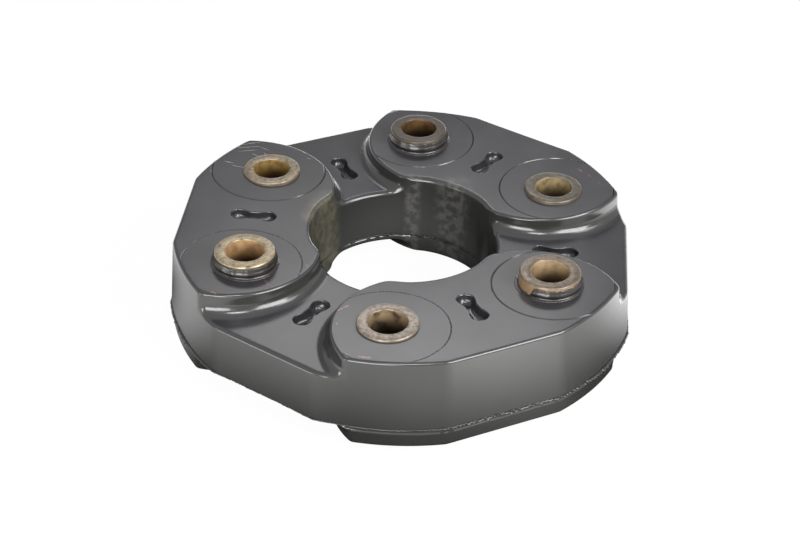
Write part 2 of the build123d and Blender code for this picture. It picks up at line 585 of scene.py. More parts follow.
@dataclass
class RubberGrid:
    """Closed grid round the body: columns follow the pads' ends, rows go round the section.

    The shares and tails say where columns stand between the middle of a recess, the crease of
    the rim, the pad's end and the pad's middle. The steps are rows at set distances from an edge.
    """

    shape: RubberField = field(default_factory=RubberField)
    end_columns: int = 42
    floor_shares: tuple[float, ...] = (
        0.0, 0.13, 0.26, 0.39, 0.51, 0.62, 0.72, 0.81, 0.89, 0.95, 0.98, 1.0,
    )
    floor_tail: tuple[float, ...] = (0.12, 0.4, 0.7)
    pad_shares: tuple[float, ...] = (
        0.05, 0.11, 0.17, 0.24, 0.31, 0.39, 0.47, 0.55,
        0.63, 0.71, 0.79, 0.86, 0.92, 0.963, 0.986, 1.0,
    )
    pad_tail: tuple[float, ...] = (
        0.02, 0.055, 0.11, 0.18, 0.27, 0.37, 0.48, 0.59, 0.7, 0.8, 0.9, 1.0,
    )
    floor_crease_limit: float = 0.94
    pad_crease_limit: float = 0.3
    end_start: float = 4.4
    end_stop: float = -2.4
    end_samples: int = 3000
    face_rows: int = 26
    wall_rows: int = 9
    edge_steps: tuple[float, ...] = (0.06, 0.3, 0.6, 0.95, 1.4)
    seam_steps: tuple[float, ...] = (0.9, 0.6, 0.4, 0.22, 0.08, -0.04, -0.16, -0.3, -0.45, -0.6)
    outer_lower_shares: tuple[float, ...] = (0.12, 0.3, 0.5, 0.7, 0.85, 0.95)
    inner_lower_shares: tuple[float, ...] = (0.05, 0.15, 0.3, 0.5, 0.7, 0.88)
    height_limits: tuple[float, float] = (-16.0, 16.5)
    halvings: int = 34
    first_radii: tuple[float, float] = (30.0, 75.0)
    first_heights: tuple[float, float] = (-8.0, 12.0)
    rounds: int = 5

    def height_at(self, radius: Points, away: Points, face: Face) -> Points:
        """Height at which a face's field is 0 on an upright line, by halving.

        Args:
            radius: Distances from the axis.
            away: Angles from the nearest recess middle.
            face: Which face.

        Returns:
            Heights.
        """
        low, high = (np.full(radius.shape, limit) for limit in self.height_limits)
        for _ in range(self.halvings):
            middle = (low + high) / 2.0
            if face is Face.UPPER:
                inside = self.shape.top(radius, away, middle) < 0.0
            else:
                inside = self.shape.bottom(radius, away, middle) > 0.0
            low, high = np.where(inside, middle, low), np.where(inside, high, middle)
        return (low + high) / 2.0

    def end_offsets(self, face: Face) -> Points:
        """Distances from a pad's end arc, spread evenly along the profile of floor, cove and wall.

        Args:
            face: Which face's profile.

        Returns:
            One more distance than there are columns, from the floor to the pad.
        """
        radius = self.shape.arc_reach
        fine = np.linspace(self.end_start, self.end_stop, self.end_samples)
        away = self.column_angle(np.full(fine.shape, radius), fine)
        height = self.height_at(np.full(fine.shape, radius), away, face)
        steps = np.hypot(np.diff(fine), np.diff(height))
        length = np.concatenate([[0.0], np.cumsum(steps)])
        return np.interp(np.linspace(0.0, length[-1], self.end_columns + 1), length, fine)

    def column_angle(self, radius: Points, offset: Points) -> Points:
        """Angle at which a circle crosses the pad's end arc, by the law of cosines.

        Args:
            radius: Radii of the circles.
            offset: How far the arc is moved out.

        Returns:
            Angles from the recess's middle.
        """
        reach, arc = self.shape.arc_reach, self.shape.arc_radius + offset
        share = (radius**2 + reach**2 - arc**2) / (2.0 * radius * reach)
        return self.shape.arc_angle - np.degrees(np.arccos(np.clip(share, -1.0, 1.0)))

    def crease_angle(self, radius: Points) -> Points:
        """Angle from a flat's middle to the crease where the flat meets the round rim."""
        inset = self.shape.layout.disc_radius - self.shape.layout.flat_distance
        return np.degrees(np.arccos((radius - inset) / radius))

    def angles(self, radius: Points, low_share: Points) -> Points:
        """Angles of a half sector's columns.

        The columns run from a recess's middle to its crease, on to the pad's end arc, across the
        cove there, on to the pad's crease and to the pad's middle.

        Args:
            radius: Radius of each point, a row for each ring.
            low_share: For each row, 0 to follow the upper face's pad end and 1 for the lower's.

        Returns:
            Angles from the recess's middle, 0 to 60 degrees.
        """
        upper, lower = self.end_offsets(Face.UPPER), self.end_offsets(Face.LOWER)
        offsets = upper + (lower - upper) * low_share[:, None]
        start = len(self.floor_shares) + len(self.floor_tail)
        stop = start + self.end_columns
        ends = self.column_angle(radius[:, start : stop + 1], offsets)
        near = radius[:, :start]
        first = self.column_angle(near, offsets[:, :1])
        crease = np.minimum(self.crease_angle(near), self.floor_crease_limit * first)
        split = len(self.floor_shares)
        floor = crease[:, :split] * self.floor_shares
        tail = crease[:, split:] + (first - crease)[:, split:] * self.floor_tail
        far = radius[:, stop + 1 :]
        last = self.column_angle(far, offsets[:, -1:])
        limit = last + self.pad_crease_limit * (HALF_SECTOR - last)
        crease = np.maximum(HALF_SECTOR - self.crease_angle(far), limit)
        split = len(self.pad_shares)
        pad = last[:, :split] + (crease - last)[:, :split] * self.pad_shares
        middle = crease[:, split:] + (HALF_SECTOR - crease[:, split:]) * self.pad_tail
        return np.hstack([floor, tail, ends, pad, middle])

    def rows(self) -> list[Row]:
        """Rows round the section.

        Returns:
            Rows from the top's inner edge outwards, down the rim, back below and up the opening.
        """
        edge, seam = self.edge_steps, self.seam_steps
        across = np.linspace(0.0, 1.0, self.face_rows)[1:-1]
        along = np.linspace(0.0, 1.0, self.wall_rows)[1:-1]
        return [
            *(Row(Side.TOP, 0.0, step) for step in edge),
            *(Row(Side.TOP, share) for share in across),
            *(Row(Side.TOP, 1.0, -step) for step in reversed(edge)),
            *(Row(Side.OUTER_UPPER, 0.0, step) for step in edge),
            *(Row(Side.OUTER_UPPER, share) for share in along),
            *(Row(Side.OUTER_SEAM, 0.0, step) for step in seam),
            *(Row(Side.OUTER_LOWER, share) for share in self.outer_lower_shares),
            *(Row(Side.BOTTOM, 1.0, -step) for step in edge),
            *(Row(Side.BOTTOM, share) for share in across[::-1]),
            *(Row(Side.BOTTOM, 0.0, step) for step in reversed(edge)),
            *(Row(Side.INNER_LOWER, share) for share in self.inner_lower_shares),
            *(Row(Side.INNER_SEAM, 0.0, step) for step in reversed(seam)),
            *(Row(Side.INNER_UPPER, share) for share in along[::-1]),
            *(Row(Side.INNER_UPPER, 0.0, step) for step in reversed(edge)),
        ]

    def on(self, rows: list[Row], *sides: Side) -> Points:
        """Whether each row lies on one of these sides, as a column."""
        return np.array([row.side in sides for row in rows])[:, None]

    def half_sector(self) -> tuple[Points, Points, Points]:
        """Radius, angle and height of each point of a half sector, before they are settled.

        The drafts tie the three to each other, so they are worked out again a few times, from a
        first guess.

        Returns:
            Three arrays with a row for each ring and a column for each direction.
        """
        rows = self.rows()
        columns = len(self.floor_shares) + len(self.floor_tail) + self.end_columns + 1
        columns += len(self.pad_shares) + len(self.pad_tail)
        share = np.array([row.share for row in rows])[:, None]
        extra = np.array([row.extra for row in rows])[:, None]
        top, bottom = self.on(rows, Side.TOP), self.on(rows, Side.BOTTOM)
        seams = self.on(rows, Side.OUTER_SEAM, Side.INNER_SEAM)
        upper_walls = self.on(rows, Side.OUTER_UPPER, Side.INNER_UPPER)
        outer_lower = self.on(rows, Side.OUTER_LOWER)
        outer = self.on(rows, Side.OUTER_UPPER, Side.OUTER_SEAM, Side.OUTER_LOWER)
        low_share = (~(top | upper_walls)).astype(float)[:, 0]
        face = top | bottom
        near, far = self.first_radii
        low, high = self.first_heights
        radius = np.where(outer, far, np.full((len(rows), columns), near))
        radius = np.where(face, near + (far - near) * share, radius)
        height = np.where(top, high, np.full(radius.shape, low))
        parting = self.shape.layout.parting_height
        seam_top, seam_foot = parting + self.seam_steps[0], parting + self.seam_steps[-1]
        for _ in range(self.rounds):
            away = self.angles(radius, low_share)
            rim, opening = self.shape.rim_at(away, height), self.shape.opening_at(height)
            radius = np.where(outer, rim, opening)
            radius = np.where(face, opening + (rim - opening) * share + extra, radius)
            above = self.height_at(radius, away, Face.UPPER)
            below = self.height_at(radius, away, Face.LOWER)
            upper = above + (seam_top - above) * share - extra
            on_seam = np.broadcast_to(parting + extra, above.shape)
            lower = seam_foot + (below - seam_foot) * share
            inner_lower = below + (seam_foot - below) * share
            height = np.select(
                [top, bottom, upper_walls, seams, outer_lower],
                [above, below, upper, on_seam, lower],
                inner_lower,
            )
        return radius, away, height

    def build(self) -> tuple[Points, Points]:
        """Whole ring: the half sector and its mirror image, three times round.

        Returns:
            Settled points and quads.
        """
        radius, away, height = self.half_sector()
        half = away.shape[1] - 1
        order = np.concatenate([np.arange(half), np.arange(half, 0, -1)])
        sign = np.concatenate([np.ones(half), -np.ones(half)])
        base = np.concatenate([np.zeros(half), np.full(half, SECTOR)])
        sector = base + sign * away[:, order]
        turn = np.hstack([sector + SECTOR * number for number in range(SECTORS)])
        radius = np.tile(radius[:, order], SECTORS)
        height = np.tile(height[:, order], SECTORS)
        points = np.stack([radius * cosd(turn), radius * sind(turn), height], -1)
        rows, columns = turn.shape
        settled = self.shape.settle(points.reshape(-1, 3))
        return settled, grid_faces(rows, columns, True)


@dataclass
class Pin:
    """Dog-bone pin that leaves a pocket: rounded at its lip, with a floor like a trough."""

    half_length: float = 4.9
    end_radius: float = 2.45
    neck_half_width: float = 1.85
    neck_cove: float = 2.0
    neck_share: float = 0.35
    depth: float = 3.1
    lip: float = 0.65
    lip_start: float = 20.0
    lip_steps: int = 5
    above: float = 1.5
    points_round: int = 96
    bunching: float = 12.0
    floor_rings: int = 16
    search_reach: float = 12.0
    halvings: int = 40

    def distance(self, x: Points, y: Points) -> Points:
        """Distance past the outline: two discs joined by a narrower web.

        Args:
            x: Places along the pin, from its middle.
            y: Places across it.

        Returns:
            Signed distances, negative inside.
        """
        ends = np.hypot(np.abs(x) - self.half_length, y) - self.end_radius
        web = np.maximum(np.abs(x) - self.half_length, np.abs(y) - self.neck_half_width)
        return join_cove(ends, web, self.neck_cove)

    def outline(self, offset: float) -> Points:
        """Closed line at an offset from the outline, found by halving along rays from the middle.

        Args:
            offset: How far out from the outline it lies.

        Returns:
            Points in the plane, closer together towards the ends.
        """
        turn = np.arange(self.points_round) * FULL_TURN / self.points_round
        turn = turn - self.bunching * sind(2.0 * turn)
        low, high = np.zeros(turn.shape), np.full(turn.shape, self.search_reach)
        for _ in range(self.halvings):
            middle = (low + high) / 2.0
            inside = self.distance(middle * cosd(turn), middle * sind(turn)) < offset
            low, high = np.where(inside, middle, low), np.where(inside, high, middle)
        return np.stack([low * cosd(turn), low * sind(turn)], -1)

    def floor(self, place: Points) -> Points:
        """Depth of the trough: a quarter ellipse across, as wide as the outline is there.

        Args:
            place: Points in the plane.

        Returns:
            Depths below the mouth.
        """
        x, y = place.T
        share = smooth_step(self.neck_share, 1.0, np.abs(x) / self.half_length)
        reach = self.neck_half_width + (self.end_radius - self.neck_half_width) * share
        inset = np.clip(-self.distance(x, y) / reach, 0.0, 1.0)
        return self.lip + (self.depth - self.lip) * np.sqrt(1.0 - (1.0 - inset) ** 2)

    def build(self) -> tuple[Points, list]:
        """Closed mesh with its mouth at height 0, pointing down, long side along X.

        The lip is an arc: its depth is the lip times the cosine at its start less the cosine,
        its offset the lip times 1 less the sine. The floor's rings are the outline, shrunk.

        Returns:
            Points, and the faces as lists of their numbers.
        """
        start = self.lip * (1.0 - sind(self.lip_start))
        rise = self.above * cosd(self.lip_start)
        mouth = self.outline(start + rise)
        rings = [(mouth, -self.above), (mouth, -rise * tand(self.lip_start))]
        for angle in np.linspace(self.lip_start, 90.0, self.lip_steps):
            depth = self.lip * (cosd(self.lip_start) - cosd(angle))
            rings.append((self.outline(self.lip * (1.0 - sind(angle))), depth))
        edge = self.outline(0.0)
        for angle in np.linspace(90.0, 0.0, self.floor_rings + 1)[1:-1]:
            place = edge * sind(angle)
            rings.append((place, self.floor(place)))
        points = []
        for place, depth in rings:
            points.append(np.column_stack([place, -np.broadcast_to(depth, len(place))]))
        count, last = self.points_round, len(points)
        poles = np.array([[0.0, 0.0, -self.depth], [0.0, 0.0, self.above]])
        faces = grid_faces(last, count, False)[:, ::-1].tolist()
        near, beside = np.arange(count), (np.arange(count) + 1) % count
        bottom = (last - 1) * count
        low_pole, high_pole = np.full(count, last * count), np.full(count, last * count + 1)
        faces += np.stack([bottom + beside, bottom + near, low_pole], -1).tolist()
        faces += np.stack([near, beside, high_pole], -1).tolist()
        return np.concatenate([*points, poles]), faces


@dataclass
class Cutters:
    """Everything that is cut out of the rubber in one go: pockets, sleeve holes, witness lines."""

    layout: Layout = field(default_factory=Layout)
    pin: Pin = field(default_factory=Pin)
    hole_radius: float = 9.63
    hole_overrun: float = 1.0
    hole_segments: int = 128
    witness_centre: float = 56.3
    witness_radius: float = 19.1
    witness_segments: int = 220
    witness_flare: float = 1.3
    witness_rise: float = 0.4
    witness_half_width: tuple[float, ...] = (0.26, 0.34, 0.24, 0.26, 0.34, 0.26)
    witness_depth: tuple[float, ...] = (0.1, 0.26, 0.28, 0.28, 0.3, 0.1)

    def placed(self, points: Points, centre: float, angle: float) -> Points:
        """Points moved out to a radius and turned about Z.

        Args:
            points: Points about the origin.
            centre: Radius that the origin moves to.
            angle: Direction that it moves in.

        Returns:
            The moved points.
        """
        x, y = points[:, 0] + centre, points[:, 1]
        turned = [x * cosd(angle) - y * sind(angle), x * sind(angle) + y * cosd(angle)]
        return np.hstack([np.stack(turned, -1), points[:, 2:]])

    def pockets(self) -> list[tuple[Points, list]]:
        """Twelve pins: between neighbouring sleeves, from above and from below.

        Returns:
            Points and faces of each.
        """
        made, layout = [], self.layout
        points, faces = self.pin.build()
        for number in range(SLEEVES):
            angle, on_pad = STEP * number, number % 2 == 1
            upper = self.placed(points, layout.pocket_radius, angle)
            radius = np.hypot(upper[:, 0], upper[:, 1])
            upper[:, 2] += layout.pad_height(radius) if on_pad else layout.recess_height
            made.append((upper, faces))
            under = self.placed(points * (1.0, 1.0, -1.0), layout.pocket_radius, angle)
            radius = np.hypot(under[:, 0], under[:, 1])
            under[:, 2] += layout.pad_bottom if on_pad else layout.underside_height(radius)
            made.append((under, [face[::-1] for face in faces]))
        return made

    def holes(self) -> list[tuple[Points, list]]:
        """Six round holes for the sleeves, right through the body.

        Returns:
            Points and faces of each.
        """
        made, count = [], self.hole_segments
        reach = self.layout.proud_height + self.hole_overrun
        profile = [(self.hole_radius, reach), (self.hole_radius, -reach)]
        caps = [list(range(count)), list(range(2 * count - 1, count - 1, -1))]
        for number in range(1, SLEEVES + 1):
            points, faces = lathe(profile, count, False)
            centre = self.layout.bolt_centre(number)
            made.append((points + (*centre, 0.0), faces[:, ::-1].tolist() + caps))
        return made

    def witness(self) -> list[tuple[Points, list]]:
        """Shallow V groove round each sleeve, pressed by the edge of a round mould insert.

        Returns:
            Points and faces of each, following the slope of the pads.
        """
        made = []
        radius, rise = self.witness_radius, self.witness_rise
        for number in range(1, SLEEVES + 1):
            wide, deep = self.witness_half_width[number - 1], self.witness_depth[number - 1]
            profile = [
                (radius + wide * self.witness_flare, rise),
                (radius + wide, 0.0),
                (radius, -deep),
                (radius - wide, 0.0),
                (radius - wide * self.witness_flare, rise),
            ]
            points, faces = lathe(profile, self.witness_segments)
            points = self.placed(points, self.witness_centre, self.layout.bolt_angle(number))
            points[:, 2] += self.layout.pad_height(np.hypot(points[:, 0], points[:, 1]))
            made.append((points, faces[:, ::-1].tolist()))
        return made

    def joined(self) -> tuple[Points, list]:
        """All cutters as one mesh of separate closed shells.

        Returns:
            Points and faces.
        """
        points, faces, start = [], [], 0
        for part_points, part_faces in self.pockets() + self.holes() + self.witness():
            points.append(part_points)
            faces += [[start + corner for corner in face] for face in part_faces]
            start += len(part_points)
        return np.concatenate(points), faces


FADE = {"interpolation_type": "SMOOTHSTEP"}
BLEND = {"data_type": "RGBA"}
TIMES = {"operation": "MULTIPLY"}


@dataclass
class NodeGraph:
    """Nodes of a material or of the world, with a short way to add and link them."""

    owner: bpy.types.Material | bpy.types.World

    def __post_init__(self) -> None:
        """Switches the owner's nodes on."""
        self.owner.use_nodes = True

    def feed(self, socket: Socket, value: object) -> None:
        """Links an output to a socket, or sets the socket's own value.

        Args:
            socket: Input socket.
            value: An output socket, or a plain value.
        """
        if isinstance(value, Socket):
            self.owner.node_tree.links.new(value, socket)
        else:
            socket.default_value = value

    def add(
        self,
        kind: str,
        inputs: dict | None = None,
        output: int | str = 0,
        stops: tuple[tuple[float, str], ...] = (),
        **settings: object,
    ) -> Socket:
        """Adds a node, sets its properties, and links or sets its inputs.

        Args:
            kind: Node type without its ShaderNode prefix.
            inputs: Socket name or number to a value, or to the output socket that feeds it.
            output: Name or number of the output socket that is wanted.
            stops: Positions and hex colours of a colour ramp.
            settings: Properties of the node itself.

        Returns:
            The node's output socket.
        """
        node = self.owner.node_tree.nodes.new("ShaderNode" + kind)
        for key, value in settings.items():
            setattr(node, key, value)
        for key, value in (inputs or {}).items():
            self.feed(node.inputs[key], value)
        while stops and len(node.color_ramp.elements) < len(stops):
            node.color_ramp.elements.new(1.0)
        for place, (position, colour) in enumerate(stops):
            element = node.color_ramp.elements[place]
            element.position, element.color = position, linear(colour)
        return node.outputs[output]

    def own(self, name: str) -> bpy.types.Node:
        """Node that the tree came with, such as its shader or its output."""
        return self.owner.node_tree.nodes[name]

    def shader_input(self, name: str, value: object) -> None:
        """Sets or links an input of the material's own shader."""
        self.feed(self.own("Principled BSDF").inputs[name], value)


def material_graph(name: str, metallic: float = 0.0, roughness: float = 0.5) -> NodeGraph:
    """Nodes of a new material.

    Args:
        name: Name of the material.
        metallic: Its shader's metallic value.
        roughness: Its shader's roughness.

    Returns:
        The graph, whose owner is the material.
    """
    graph = NodeGraph(bpy.data.materials.new(name))
    graph.shader_input("Metallic", metallic)
    graph.shader_input("Roughness", roughness)
    return graph


@dataclass(frozen=True)
class Mark:
    """Stroke or dab on the upper face, from one place to another, in millimetres."""

    start: tuple[float, float]
    stop: tuple[float, float]
    width: float


@dataclass(frozen=True)
class Smear:
    """Marks of one kind: their colour, how densely they cover, and how many grains a metre has."""

    colour: str
    thinnest: float
    densest: float
    grain_scale: float
    marks: tuple[Mark, ...]
    pads_only: bool = False


# Pale haze painted on the opening wall, soft-ended, in 2.6 mm wisps mottled like dust: a painted
# highlight along the wall's ridge at the back, and painted light to its right.
PAINTED_HIGHLIGHT_HAZE = Smear(
    "73716d", 0.03, 0.24, 380.0,
    (Mark((0.3, 28.6), (0.3, 30.4), 3.6), Mark((13.5, 25.6), (15.0, 26.8), 8.0)),
)
# Film of old grease on the left of the opening: an olive tinge, in the same 2.6 mm wisps.
OLIVE = Smear("545143", 0.35, 0.7, 380.0, (Mark((-26.2, 13.6), (-29.2, 3.0), 7.0),))
# Reddish crayon, worn down to crumbs. Real crumbs are about 0.2 mm, too fine to show in the
# render, so they are drawn at 0.67 mm.
CRAYON = Smear(
    "a8695d", 0.0, 0.7, 1500.0,
    (
        Mark((-39.9, -36.6), (-38.8, -38.4), 0.38),
        Mark((-55.4, -45.2), (-53.6, -46.0), 0.34),
        Mark((-28.3, -25.9), (-27.9, -27.0), 0.3),
        Mark((-15.6, -49.4), (-12.9, -46.6), 0.42),
        Mark((-14.9, -48.2), (-13.8, -48.4), 0.3),
        Mark((-15.4, -56.0), (-15.0, -56.8), 0.3),
        Mark((-10.6, -71.6), (-9.9, -71.8), 0.3),
        Mark((-6.6, -72.3), (-3.4, -72.6), 0.5),
        Mark((55.6, 41.2), (57.0, 39.9), 0.35),
        Mark((59.2, 37.5), (60.2, 36.5), 0.35),
        Mark((63.0, 32.8), (63.6, 31.9), 0.3),
        Mark((-11.7, 74.4), (-10.7, 74.6), 0.4),
    ),
    pads_only=True,
)
# Fine cracks and scrapes in the pads' skin: dark lines with a slight dip.
HAIRLINES = (
    Mark((-60.6, 43.0), (-54.6, 45.2), 0.3),
    Mark((-61.0, 40.8), (-54.4, 42.6), 0.3),
    Mark((-54.4, 42.6), (-50.8, 41.0), 0.3),
    Mark((-60.2, 38.6), (-54.8, 40.2), 0.3),
    Mark((-55.6, 37.6), (-52.0, 36.0), 0.34),
    Mark((-63.8, 31.4), (-61.6, 31.0), 0.5),
    Mark((-61.0, 29.2), (-57.4, 28.4), 0.3),
    Mark((-51.6, 38.6), (-50.9, 38.1), 0.6),
    Mark((-36.6, 38.0), (-36.0, 37.6), 0.5),
    Mark((-38.6, 41.8), (-38.1, 41.3), 0.55),
)


@dataclass(frozen=True)
class RubberFinish:
    """Natural rubber, dark grey with carbon black, pressed in a polished steel mould.

    To the eye its faces are satin and faintly cloudy with bloom. Its walls and coves are
    glossier, so they mirror the floor as soft grey bands, and their gloss is a little patchy.
    """

    name: str = "moulded_rubber"
    dark: str = "212023"
    mid: str = "28272a"
    bloom: str = "302f32"
    wall: str = "282827"
    scratch: str = "0a0a0b"
    cloud_stops: tuple[float, float, float] = (0.28, 0.5, 0.75)
    cloud_scale: float = 55.0  # a metre over 18 mm: bloom gathers in clouds a thumb wide
    patch_scale: float = 380.0  # a metre over 2.6 mm: gloss changes over the width of a match
    face_roughness: float = 0.28
    wall_roughness: float = 0.17
    patch_band: tuple[float, float] = (0.35, 0.7)
    patch_change: tuple[float, float] = (-0.02, 0.05)
    patch_on_faces: float = 0.06
    level_band: tuple[float, float] = (0.8, 0.99)
    pad_band: tuple[float, float] = (8.5, 11.5)
    crumb_band: tuple[float, float] = (0.4, 0.62)
    mark_core: float = 0.3
    scratch_share: float = 0.8
    scratch_depth: float = 0.12
    scratch_strength: float = 0.8
    # The first smear is a painted highlight and painted light on the opening wall; the others are a
    # grease film and crayon.
    smears: tuple[Smear, ...] = (PAINTED_HIGHLIGHT_HAZE, OLIVE, CRAYON)
    hairlines: tuple[Mark, ...] = HAIRLINES

    def mask(self, graph: NodeGraph, flat: Socket, marks: tuple[Mark, ...]) -> Socket:
        """Mask of a set of straight marks, all the way down through the body.

        The nearest point of each mark is its start plus its line times the share of the way
        along it. The mask is 1 there and falls to 0 over the mark's width.

        Args:
            graph: The material's nodes.
            flat: Position, flattened onto the plane of the marks.
            marks: The marks.

        Returns:
            The mask.
        """
        total = None
        for mark in marks:
            start = np.array([*mark.start, 0.0]) * MILLIMETRE
            line = np.array([*mark.stop, 0.0]) * MILLIMETRE - start
            from_start = {0: flat, 1: tuple(start)}
            from_start = graph.add("VectorMath", from_start, operation="SUBTRACT")
            weight = tuple(line / (line @ line))
            along = {0: from_start, 1: weight}
            along = graph.add("VectorMath", along, 1, operation="DOT_PRODUCT")
            share = graph.add("Clamp", {0: along})
            foot = graph.add("VectorMath", {0: tuple(line), 3: share}, operation="SCALE")
            away = graph.add("VectorMath", {0: from_start, 1: foot}, 1, operation="DISTANCE")
            near, far = self.mark_core * mark.width * MILLIMETRE, mark.width * MILLIMETRE
            mask = graph.add("MapRange", {0: away, 1: near, 2: far, 3: 1.0, 4: 0.0}, **FADE)
            if total:
                mask = graph.add("Math", {0: total, 1: mask}, operation="MAXIMUM")
            total = mask
        return total

    def smeared(
        self, graph: NodeGraph, colour: Socket, place: Socket, flat: Socket, on_pads: Socket
    ) -> Socket:
        """Colour with the smears laid over it, each broken up by its own grain.

        Args:
            graph: The material's nodes.
            colour: Colour of the clean rubber.
            place: Position on the piece.
            flat: Position, flattened onto the plane of the marks.
            on_pads: 1 on the pads and 0 below them.

        Returns:
            The colour.
        """
        low, high = self.crumb_band
        for smear in self.smears:
            mask = self.mask(graph, flat, smear.marks)
            grain = {"Vector": place, "Scale": smear.grain_scale, "Detail": 3.0}
            grain = {0: graph.add("TexNoise", grain), 1: low, 2: high}
            cover = {**grain, 3: smear.thinnest, 4: smear.densest}
            cover = graph.add("MapRange", cover, **FADE)
            mask = graph.add("Math", {0: mask, 1: cover}, **TIMES)
            if smear.pads_only:
                mask = graph.add("Math", {0: mask, 1: on_pads}, **TIMES)
            tint = {0: mask, 6: colour, 7: linear(smear.colour)}
            colour = graph.add("Mix", tint, 2, **BLEND)
        return colour

    def roughness(self, graph: NodeGraph, place: Socket, level: Socket) -> Socket:
        """Roughness: even on the faces, and patchy on the glossier walls.

        Args:
            graph: The material's nodes.
            place: Position on the piece.
            level: 1 on level faces and 0 on walls and coves.

        Returns:
            The roughness.
        """
        patch = {"Vector": place, "Scale": self.patch_scale, "Detail": 4.0}
        (low, high), (glossier, duller) = self.patch_band, self.patch_change
        patch = {0: graph.add("TexNoise", patch), 1: low, 2: high, 3: glossier, 4: duller}
        patch = graph.add("MapRange", patch, **FADE)
        share = graph.add("MapRange", {0: level, 3: 1.0, 4: self.patch_on_faces})
        base = graph.add("MapRange", {0: level, 3: self.wall_roughness, 4: self.face_roughness})
        return graph.add("Math", {0: patch, 1: share, 2: base}, operation="MULTIPLY_ADD")

    def make(self) -> bpy.types.Material:
        """Builds the material.

        Returns:
            The material.
        """
        graph = material_graph(self.name)
        place = graph.add("TexCoord", output="Object")
        flat = graph.add("VectorMath", {0: place, 1: (1.0, 1.0, 0.0)}, **TIMES)
        height = graph.add("SeparateXYZ", {0: place}, 2)
        low, high = (edge * MILLIMETRE for edge in self.pad_band)
        on_pads = graph.add("MapRange", {0: height, 1: low, 2: high}, **FADE)
        upright = graph.add("SeparateXYZ", {0: graph.add("TexCoord", output="Normal")}, 2)
        steep, even = self.level_band
        level = graph.add("MapRange", {0: upright, 1: steep, 2: even}, **FADE)
        cloud = {"Vector": place, "Scale": self.cloud_scale, "Detail": 3.0}
        stops = tuple(zip(self.cloud_stops, (self.dark, self.mid, self.bloom)))
        top = graph.add("ValToRGB", {0: graph.add("TexNoise", cloud)}, stops=stops)
        colour = graph.add("Mix", {0: level, 6: linear(self.wall), 7: top}, 2, **BLEND)
        colour = self.smeared(graph, colour, place, flat, on_pads)
        scratch = self.mask(graph, flat, self.hairlines)
        scratch = graph.add("Math", {0: scratch, 1: on_pads}, **TIMES)
        share = graph.add("Math", {0: scratch, 1: self.scratch_share}, **TIMES)
        colour = graph.add("Mix", {0: share, 6: colour, 7: linear(self.scratch)}, 2, **BLEND)
        graph.shader_input("Base Color", colour)
        graph.shader_input("Roughness", self.roughness(graph, place, level))
        relief = {
            "Height": graph.add("Math", {0: scratch, 1: -1.0}, **TIMES),
            "Distance": self.scratch_depth * MILLIMETRE,
            "Strength": self.scratch_strength,
        }
        graph.shader_input("Normal", graph.add("Bump", relief))
        return graph.owner


@dataclass(frozen=True)
class BareRubberFinish:
    """Black glossy rubber without bloom, where pins, fins and skins left it fresh; on the fins the
    near-black is also painted shade.
    """

    name: str
    colour: str
    roughness: float
    grain_scale: float
    grain_depth: float
    grain_strength: float = 0.6

    def make(self) -> bpy.types.Material:
        """Builds the material.

        Returns:
            The material.
        """
        graph = material_graph(self.name, roughness=self.roughness)
        graph.shader_input("Base Color", linear(self.colour))
        place = graph.add("TexCoord", output="Object")
        grain = {"Vector": place, "Scale": self.grain_scale, "Detail": 3.0}
        relief = {
            "Height": graph.add("TexNoise", grain),
            "Distance": self.grain_depth * MILLIMETRE,
            "Strength": self.grain_strength,
        }
        graph.shader_input("Normal", graph.add("Bump", relief))
        return graph.owner


# Rubber pressed against a polished pin: smooth with 5 mm ripples, and a glint in each pocket.
POCKET_RUBBER = BareRubberFinish("pocket_rubber", "252427", 0.22, 200.0, 0.01)
# Torn thin edge of the flash: almost black, darker than the body as painted shade for the shadow
# line under the fin, with small broken glints. Real tears are a few tenths of a millimetre, too
# fine to show in the render, so they are drawn at 1.7 mm.
FLASH_RUBBER_PAINTED_SHADE = BareRubberFinish("flash_rubber", "121112", 0.33, 600.0, 0.1)
# Thin skin drawn up the steel: warm black with 3.3 mm waves and soft highlights round it.
SKIN_RUBBER = BareRubberFinish("skin_rubber", "1a1715", 0.27, 300.0, 0.08)


